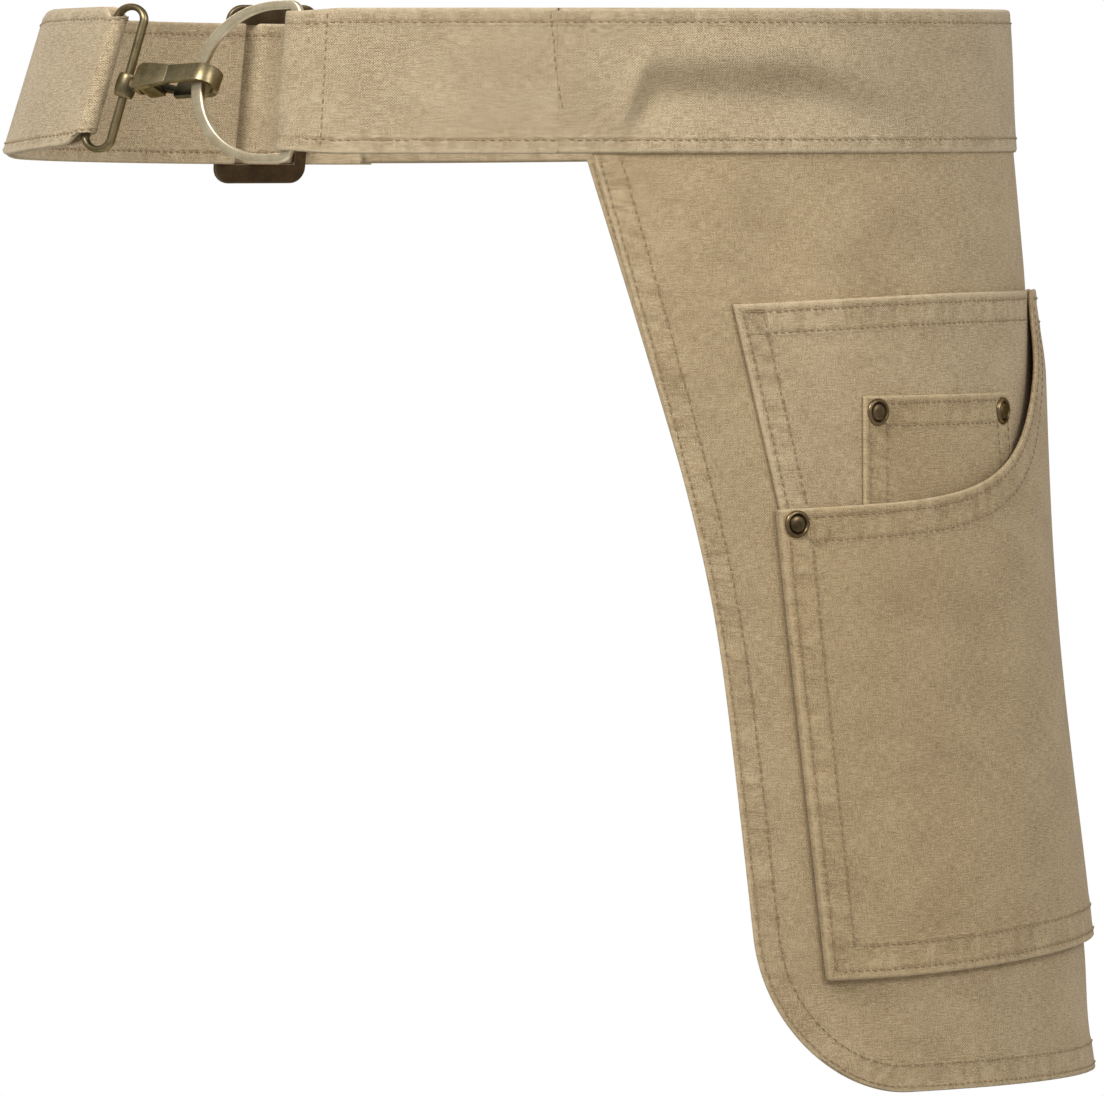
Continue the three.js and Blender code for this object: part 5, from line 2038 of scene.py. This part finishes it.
    def build(self) -> None:
        """Makes the strap and its stitches."""
        strip = self.strip()
        piece = ClothMesh().build("strap_cloth", strip, strip.grid(self.grid_rows), self.rims)
        dress(piece, Finish.STRAP, "strap")
        sewing = Stitching()
        along = np.linspace(self.row_end, strip.length - self.row_end, 2400)
        for line in strip.edge_rows(along, self.row):
            for face in Face:
                sewing.follow(strip, line, face)
        thread = dress(sewing.build("strap_stitches"), Finish.THREAD)


@dataclass
class Slider:
    """Three-bar slider with rounded corners."""

    form: WaistForm
    length: float = 0.038
    height: float = 0.067
    corner: float = 0.006
    bar: float = 0.005
    slot_height: float = 0.0520
    edge_round: float = 0.0006

    def build(self) -> None:
        """Cuts the slots out of a rounded plate and rounds its edges."""
        Bench.clear()
        thickness = self.form.slider_thickness
        bpy.ops.mesh.primitive_plane_add(size=1.0, location=(0, -thickness / 2, 0), rotation=UPRIGHT)
        bpy.context.object.scale = (self.length, self.height, 1)
        piece = Bench.take("slider_plate")
        start, end, half = self.bar / 2, self.length / 2 - self.bar, self.slot_height / 2
        with Bench.editing(piece):
            bpy.ops.mesh.bevel(offset=self.corner, segments=8, affect="VERTICES")
            for x in (start, -start, end, -end):
                Bench.slice((x, 0, 0), (1, 0, 0))
            for z in (half, -half):
                Bench.slice((0, 0, z), (0, 0, 1))
            Bench.pick(Element.FACES, lambda c: abs(c.z) < half and start < abs(c.x) < end)
            bpy.ops.mesh.delete(type="FACE")
            bpy.ops.mesh.select_all(action="SELECT")
            Bench.push(y=thickness)
        point, _, onward, upright = self.form.station(self.form.slider_at)
        Bench.finish(piece, place_of(point, onward, upright), self.edge_round)
        dress(piece, Finish.DARK_BRONZE, "slider")


@dataclass
class Fastening:
    """The D-ring, the wire loop and the snap hook between them."""

    form: WaistForm
    ring_bar: float = 0.005
    ring_arm: float = 0.003
    ring_thickness: float = 0.0025
    ring_half: float = 0.0287
    ring_bow: float = 0.010
    ring_reach: float = 0.0355
    ring_corner: float = 0.0058
    ring_round: float = 0.0007
    wire_radius: float = 0.0016
    wire_gap: float = 0.0123
    wire_height: float = 0.0545
    wire_end_rise: float = 0.0042
    hook_width: float = 0.007
    hook_roll: float = -0.42
    eye_rise: float = 0.0002
    nose_rise: float = 0.0008
    nose_centre: float = 0.035
    nose_inner: float = 0.004
    nose_outer: float = 0.006
    nose_tip: float = 0.0295
    body_rear: float = 0.0081
    body_shoulder: float = 0.0096
    body_wide_end: float = 0.0126
    body_front: float = 0.022
    body_rear_half: float = 0.0036
    body_wide_half: float = 0.005
    body_outer: float = -0.0062
    body_inner: float = 0.004
    body_taper: float = 0.34
    body_round: float = 0.0005
    plate_inner: float = -0.0037
    lug_front: float = 0.016
    lug_wall: float = 0.0013
    slot_half: float = 0.0016
    slot_groove: float = 0.0002
    pivot: Pair = (0.0124, 0.0022)
    gate_hub: float = 0.0019
    gate_line: float = 0.005
    gate_half: float = 0.001
    gate_arm: float = 0.0026
    gate_width: float = 0.0064
    gate_bend: float = 0.0195
    gate_tip: float = 0.029
    gate_round: float = 0.0004
    spur_rear: float = 0.0099
    spur_reach: float = 0.0052
    spur_heel: float = 0.0008
    eye_core: float = 0.00285
    eye_tube: float = 0.00095
    eye_half_height: float = 0.0043
    neck_radius: float = 0.0037
    neck_taper: float = 0.62
    neck_front: float = 0.0078
    neck_rear: float = 0.0027
    neck_shares: tuple[float, float, float] = (0.6, 0.1, 0.3)
    eye_round: float = 0.0002

    def places(self) -> tuple[Matrix, Matrix, Matrix]:
        """The hard pieces' own frames.

        Returns:
            The frames of the ring, the wire loop and the hook.
        """
        form = self.form
        tab, tab_out, _, upright = form.station(form.tab_bar)
        leg, _, _, tilted = form.station(form.fold_at, form.fold_tilt)
        bar = tab + tab_out * form.band_middle
        ring = place_of(bar, leg - bar, upright)
        wire = place_of(leg, leg - bar, tilted)
        bow = self.ring_bow + self.ring_reach - self.ring_bar / 2
        caught = np.array(ring @ Vector((bow, 0, self.nose_rise)))
        eye = np.array(wire @ Vector((-self.wire_gap, 0, self.eye_rise - leg[2])))
        reach = caught - eye
        up = Vector(upright - reach * reach[2] / (reach @ reach))
        up.rotate(Matrix.Rotation(self.hook_roll, 3, Vector(reach)))
        return ring, wire, place_of(eye, reach, np.array(up))

    def build(self) -> None:
        """Makes the fastening's pieces."""
        ring, wire, hook = self.places()
        dress(self._ring(ring), Finish.PALE_BRASS, "d_ring")
        dress(self._wire(wire), Finish.ANTIQUE_BRASS, "wire_loop")
        dress(self._body(hook), Finish.ANTIQUE_BRASS, "hook_body")
        dress(self._gate(hook), Finish.GATE_GREY, "hook_gate", GATE_BODY)
        wire_line = hook.to_3x3().transposed() @ wire.to_3x3() @ Vector((0, 0, 1))
        dress(self._eye(hook, wire_line), Finish.ANTIQUE_BRASS, "swivel_eye")

    def _ring(self, place: Matrix) -> Piece:
        """A D cut from a disc, inset to a flat bar and thickened.

        Args:
            place: The ring's frame.

        Returns:
            The ring.
        """
        Bench.clear()
        middle = (self.ring_bow, -self.ring_thickness / 2, 0)
        bpy.ops.mesh.primitive_circle_add(vertices=96, radius=self.ring_half, fill_type="NGON",
                                          location=middle, rotation=UPRIGHT)
        piece = Bench.take("d_ring_bar")
        with Bench.editing(piece):
            Bench.slice((self.ring_bow, 0, 0), (1, 0, 0), clear_inner=True)
            Bench.pick(Element.VERTS, lambda c: c.x > self.ring_bow - NEARLY)
            Bench.stretch((self.ring_bow, 0, 0), (self.ring_reach / self.ring_half, 1, 1))
            Bench.pick(Element.EDGES, lambda c: abs(c.x - self.ring_bow) < NEARLY)
            Bench.push(x=-self.ring_bow - self.ring_bar / 2)
            Bench.pick(Element.VERTS, lambda c: c.x < 0)
            bpy.ops.mesh.bevel(offset=self.ring_corner, segments=6, affect="VERTICES")
            bpy.ops.mesh.select_all(action="SELECT")
            bpy.ops.mesh.normals_make_consistent(inside=False)
            Bench.pick(Element.FACES, lambda c: True)
            bpy.ops.mesh.inset(thickness=self.ring_bar, use_even_offset=True)
            widening = (self.ring_half - self.ring_arm) / (self.ring_half - self.ring_bar)
            Bench.stretch(ORIGIN, (1, 1, widening))
            bpy.ops.mesh.delete(type="FACE")
            bpy.ops.mesh.select_all(action="SELECT")
            Bench.push(y=self.ring_thickness)
        return Bench.finish(piece, place, self.ring_round)

    def _wire(self, place: Matrix) -> Piece:
        """A ring of wire pulled out to a long loop.

        Args:
            place: The wire loop's frame.

        Returns:
            The wire loop.
        """
        Bench.clear()
        radius = self.wire_gap / 2
        bpy.ops.mesh.primitive_torus_add(major_radius=radius, minor_radius=self.wire_radius,
                                         major_segments=56, minor_segments=16,
                                         location=(-radius, 0, 0), rotation=UPRIGHT)
        piece = Bench.take("wire_bow")
        straight = self.wire_height / 2 - self.wire_radius - self.wire_end_rise
        flattening = (self.wire_end_rise + self.wire_radius) / (radius + self.wire_radius)
        with Bench.editing(piece):
            Bench.stretch(ORIGIN, (1, 1, flattening))
            for side in (1, -1):
                Bench.slice((0, 0, side * NEARLY), (0, 0, 1))
                Bench.pick(Element.VERTS, lambda c: side * c.z > NEARLY / 2)
                bpy.ops.transform.translate(value=(0, 0, side * straight))
        return Bench.finish(piece, place, 0)

    def _body(self, place: Matrix) -> Piece:
        """A tapered plate that runs on as the hook, with two lugs for the gate's pin at its rear.

        Args:
            place: The hook's frame.

        Returns:
            The body.
        """
        depth = self.plate_inner - self.body_outer
        middle = ((self.body_rear + self.body_front) / 2, self.body_outer + depth / 2, 0)
        size = (self.body_front - self.body_rear, depth, 2 * self.body_wide_half)
        piece = Bench.block("hook_body_block", middle, size)
        whole = self.body_inner - self.body_outer
        plate_share = 1 - self.body_taper * depth / whole
        lug_share = (1 - self.body_taper) / plate_share
        front_half = self.hook_width / 2
        lug_half = self.body_wide_half + (front_half - self.body_wide_half) * (
            (self.lug_front - self.body_wide_end) / (self.body_front - self.body_wide_end))
        with Bench.editing(piece):
            for x in (self.body_shoulder, self.body_wide_end, self.lug_front):
                Bench.slice((x, 0, 0), (1, 0, 0))
            for x, half in ((self.body_rear, self.body_rear_half), (self.lug_front, lug_half),
                            (self.body_front, front_half)):
                Bench.pick(Element.VERTS, lambda c: abs(c.x - x) < NEARLY)
                Bench.stretch(ORIGIN, (1, 1, half / self.body_wide_half))
            Bench.pick(Element.VERTS, lambda c: c.y > self.plate_inner - NEARLY)
            Bench.stretch(ORIGIN, (1, 1, plate_share))
            Bench.pick(Element.FACES, lambda c: c.y > self.plate_inner - NEARLY and c.x < self.lug_front)
            Bench.push(y=self.body_inner - self.plate_inner)
            Bench.stretch(ORIGIN, (1, 1, lug_share))
        size = self.body_front
        corner = (self.body_rear + self.lug_wall, self.plate_inner - self.slot_groove)
        middle = (corner[0] + size / 2, corner[1] + size / 2, 0)
        Bench.combine(piece, Bench.block("channel", middle, (size, size, 2 * self.slot_half)), Joining.CUT)
        with Bench.editing(piece):
            outer, inner = -self.nose_outer, -self.nose_inner
            Bench.slice((0, inner, 0), (0, 1, 0))
            Bench.slice((0, outer, 0), (0, 1, 0))
            Bench.pick(Element.FACES, lambda c: c.x > self.body_front - NEARLY and outer < c.y < inner)
            Bench.push(x=self.nose_centre - self.body_front)
            bpy.ops.mesh.spin(steps=18, angle=-math.pi, center=(self.nose_centre, 0, 0), axis=(0, 0, 1))
            Bench.push(x=self.nose_tip - self.nose_centre)
        return Bench.finish(piece, place, self.body_round)

    def _gate(self, place: Matrix) -> Piece:
        """A wide bar that narrows to an arm between the lugs and ends in a thumb spur.

        Args:
            place: The hook's frame.

        Returns:
            The gate.
        """
        along, inward = self.pivot
        middle = ((self.gate_bend + self.gate_tip) / 2, self.gate_line, 0)
        size = (self.gate_tip - self.gate_bend, 2 * self.gate_half, self.gate_width)
        piece = Bench.block("hook_gate_lever", middle, size)
        hub = self.gate_hub
        stations = (
            (along + hub, inward - hub / 2, inward + hub),
            (along + hub / 2, inward - hub, inward + hub),
            (along - hub / 2, inward - hub, inward + hub),
            (along - hub, inward - hub / 3, self.spur_reach),
            (self.spur_rear, inward + self.spur_heel, self.spur_reach),
        )
        x, low, high = self.gate_bend, self.gate_line - self.gate_half, self.gate_line + self.gate_half
        with Bench.editing(piece):
            Bench.pick(Element.FACES, lambda c: c.x < self.gate_bend + NEARLY)
            Bench.push()
            Bench.stretch(ORIGIN, (1, 1, self.gate_arm / self.gate_width))
            for next_x, next_low, next_high in stations:
                Bench.push(x=next_x - x, y=(next_low + next_high - low - high) / 2)
                widening = (next_high - next_low) / (high - low)
                Bench.stretch((0, (next_low + next_high) / 2, 0), (1, widening, 1))
                x, low, high = next_x, next_low, next_high
        return Bench.finish(piece, place, self.gate_round)

    def _eye(self, place: Matrix, wire_line: Vector) -> Piece:
        """A round sleeve on the wire joined to a turned neck with a collar.

        Args:
            place: The hook's frame.
            wire_line: Direction of the wire in that frame.

        Returns:
            The eye.
        """
        Bench.clear()
        bpy.ops.mesh.primitive_torus_add(major_radius=self.eye_core, minor_radius=self.eye_tube,
                                         major_segments=48, minor_segments=18)
        sleeve = bpy.context.object
        sleeve.scale = (1, 1, self.eye_half_height / self.eye_tube)
        sleeve.rotation_mode = "QUATERNION"
        sleeve.rotation_quaternion = Vector((0, 0, 1)).rotation_difference(wire_line)
        piece = Bench.take("swivel_eye_ring")
        Bench.clear()
        post, cone, collar = (share * (self.neck_front - self.neck_rear) for share in self.neck_shares)
        radius = self.neck_radius * self.neck_taper
        bpy.ops.mesh.primitive_cylinder_add(vertices=32, radius=radius, depth=post,
                                            location=(self.neck_rear + post / 2, 0, 0),
                                            rotation=(0, math.pi / 2, 0))
        neck = Bench.take("neck")
        with Bench.editing(neck):
            Bench.pick(Element.FACES, lambda c: c.x > self.neck_rear + post - NEARLY)
            Bench.push(x=cone)
            Bench.stretch(ORIGIN, (1, 1 / self.neck_taper, 1 / self.neck_taper))
            Bench.push(x=collar)
        Bench.combine(piece, neck, Joining.ADD)
        return Bench.finish(piece, place, self.eye_round, 2)


@dataclass
class Rivets:
    """Turned rivet caps on the pocket's corners."""

    form: WaistForm
    cut: PocketCut
    radius: float = 0.0048
    base: float = 0.0006
    clearance: float = 0.00005
    # Steps over the base's top towards its middle: how far in, and how far up.
    profile: tuple[Pair, ...] = (
        (0.00035, 0.00045), (0.00030, 0.00015), (0.00045, 0.0), (0.00025, -0.00035), (0.00030, -0.00020),
        (0.00020, 0.00025), (0.00055, 0.00035), (0.00090, 0.00020), (0.00080, 0.00005),
    )
    # Node, place across, height, and whether it sits on the pocket's front.
    spots: tuple[tuple[str, float, float, bool], ...] = (
        ("rivet_coin_rear", 0.1413, -0.1165, False),
        ("rivet_coin_front", 0.0693, -0.1174, False),
        ("rivet_pocket_near", 0.1803, -0.1552, True),
        ("rivet_pocket_far", -0.1803, -0.1552, True),
    )

    def build(self) -> None:
        """Turns each cap and seats it on its cloth."""
        front = PocketFront(self.form, self.cut)
        coin = CoinPocket(self.form, self.cut)
        model = self._cap()
        for node, across, height, on_front in self.spots:
            layer = front if on_front else coin
            inner, outer = layer.faces(np.array([[across, height]]))
            out = unit(outer - inner)[0]
            seat = outer[0] + out * self.clearance
            cap = bpy.data.objects.new(node + "_cap", model.data.copy())
            cap.data.transform(place_of(seat, np.cross((0.0, 0.0, 1.0), out), out))
            bpy.context.scene.collection.objects.link(cap)
            dress(cap, Finish.RIVET_BRASS, node)
        bpy.data.objects.remove(model)

    def _cap(self) -> Piece:
        """A disc with a round rim, a groove and a low dome.

        Returns:
            The cap that the others are copied from.
        """
        Bench.clear()
        bpy.ops.mesh.primitive_cylinder_add(vertices=40, radius=self.radius, depth=self.base,
                                            location=(0, 0, self.base / 2))
        piece = Bench.take("rivet_cap")
        with Bench.editing(piece):
            Bench.pick(Element.FACES, lambda c: c.z > self.base - NEARLY)
            for inset, rise in self.profile:
                bpy.ops.mesh.inset(thickness=inset)
                bpy.ops.transform.translate(value=(0, 0, rise))
        return Bench.finish(piece, Matrix.Identity(4), 0)


@dataclass(frozen=True)
class Lamp:
    """A square soft light."""

    name: str
    place: tuple[float, float, float]
    width: float
    watts: float


@dataclass
class Studio:
    """Plain pale floor, soft light and the camera of the photograph."""

    eye: tuple[float, float, float] = (0.0, -5.0, 0.0)
    aim: tuple[float, float, float] = (0.0148, 0.0, -0.1685)
    view_width: float = 0.3983
    sensor: float = 36.0
    floor_height: float = -0.60
    floor_radius: float = 2.4
    ambient: float = 0.48
    lamp_spread: float = math.radians(50)
    lit_spot: tuple[float, float, float] = (0.08, 0.0, 0.12)
    lamps: tuple[Lamp, ...] = (
        Lamp("key", (-0.85, -1.25, 1.4), 0.8, 3.1),
        Lamp("fill", (1.7, -1.8, 1.5), 1.4, 3.3),
        Lamp("rear", (-0.6, 2.4, 1.2), 1.6, 2.0),
    )

    def build(self) -> None:
        """Makes the floor, the lights, the sky and the camera."""
        self._floor()
        for lamp in self.lamps:
            self._light(lamp)
        self._sky()
        self._camera()
        bpy.context.scene.view_settings.view_transform = "Standard"

    def _floor(self) -> None:
        """A pale disc with a fine grain."""
        Bench.clear()
        bpy.ops.mesh.primitive_circle_add(vertices=96, radius=self.floor_radius, fill_type="NGON",
                                          location=(0, 0, self.floor_height))
        floor = Bench.take("studio_floor")
        graph = Graph("pale_floor")
        grain = graph.noise(graph.place(), 40, 3)
        tint = graph.ramp(grain, (0.0, (0.72, 0.72, 0.71)), (1.0, (0.78, 0.78, 0.77)))
        graph.surface(Base_Color=tint, Roughness=0.9)
        floor.data.materials.append(graph.material)

    def _light(self, lamp: Lamp) -> None:
        """Stands a lamp in the studio, turned to the apron.

        Args:
            lamp: The lamp.
        """
        light = bpy.data.lights.new(lamp.name, "AREA")
        light.size = lamp.width
        light.energy = lamp.watts
        light.spread = self.lamp_spread
        stand = bpy.data.objects.new(lamp.name, light)
        stand.location = lamp.place
        ahead = Vector(self.lit_spot) - Vector(lamp.place)
        stand.rotation_euler = ahead.to_track_quat("-Z", "Y").to_euler()
        stand.visible_camera = False
        bpy.context.scene.collection.objects.link(stand)

    def _sky(self) -> None:
        """Even white surroundings that light less than they show."""
        world = bpy.data.worlds.new("studio")
        bpy.context.scene.world = world
        world.use_nodes = True
        tree = world.node_tree
        tree.nodes.clear()
        shown = tree.nodes.new("ShaderNodeBackground")
        shown.inputs["Color"].default_value = (1, 1, 1, 1)
        lit = tree.nodes.new("ShaderNodeBackground")
        lit.inputs["Color"].default_value = (1, 0.98, 0.94, 1)
        lit.inputs["Strength"].default_value = self.ambient
        mixed = tree.nodes.new("ShaderNodeMixShader")
        ray = tree.nodes.new("ShaderNodeLightPath")
        output = tree.nodes.new("ShaderNodeOutputWorld")
        tree.links.new(ray.outputs["Is Camera Ray"], mixed.inputs["Fac"])
        tree.links.new(lit.outputs["Background"], mixed.inputs[1])
        tree.links.new(shown.outputs["Background"], mixed.inputs[2])
        tree.links.new(mixed.outputs["Shader"], output.inputs["Surface"])

    def _camera(self) -> None:
        """A long lens at the photograph's viewing angle."""
        data = bpy.data.cameras.new("camera")
        reach = Vector(self.aim) - Vector(self.eye)
        data.sensor_width = self.sensor
        data.lens = self.sensor * reach.length / self.view_width
        data.clip_end = 100
        camera = bpy.data.objects.new("camera", data)
        camera.location = self.eye
        camera.rotation_euler = reach.to_track_quat("-Z", "Y").to_euler()
        bpy.context.scene.collection.objects.link(camera)
        bpy.context.scene.camera = camera


def dress_kept_nodes() -> None:
    """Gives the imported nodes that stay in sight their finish."""
    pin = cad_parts["gate_pin"]
    pin.data.materials.clear()
    pin.data.materials.append(Finish.ANTIQUE_BRASS.material())
    LOG.info("gate_pin: kept")


def main() -> None:
    """Builds the studio and the apron's pieces in order."""
    logging.basicConfig(level=logging.INFO, format="%(name)s: %(message)s")
    form = WaistForm()
    cut = PocketCut()
    Studio().build()
    Waistband(form).build()
    Slider(form).build()
    Fastening(form).build()
    RingTab(form).build()
    Strap(form).build()
    ApronPanel(form).build()
    PocketBacking(form, cut).build()
    PocketFront(form, cut).build()
    CoinPocket(form, cut).build()
    Rivets(form, cut).build()
    dress_kept_nodes()


if __name__ == "__main__":
    main()
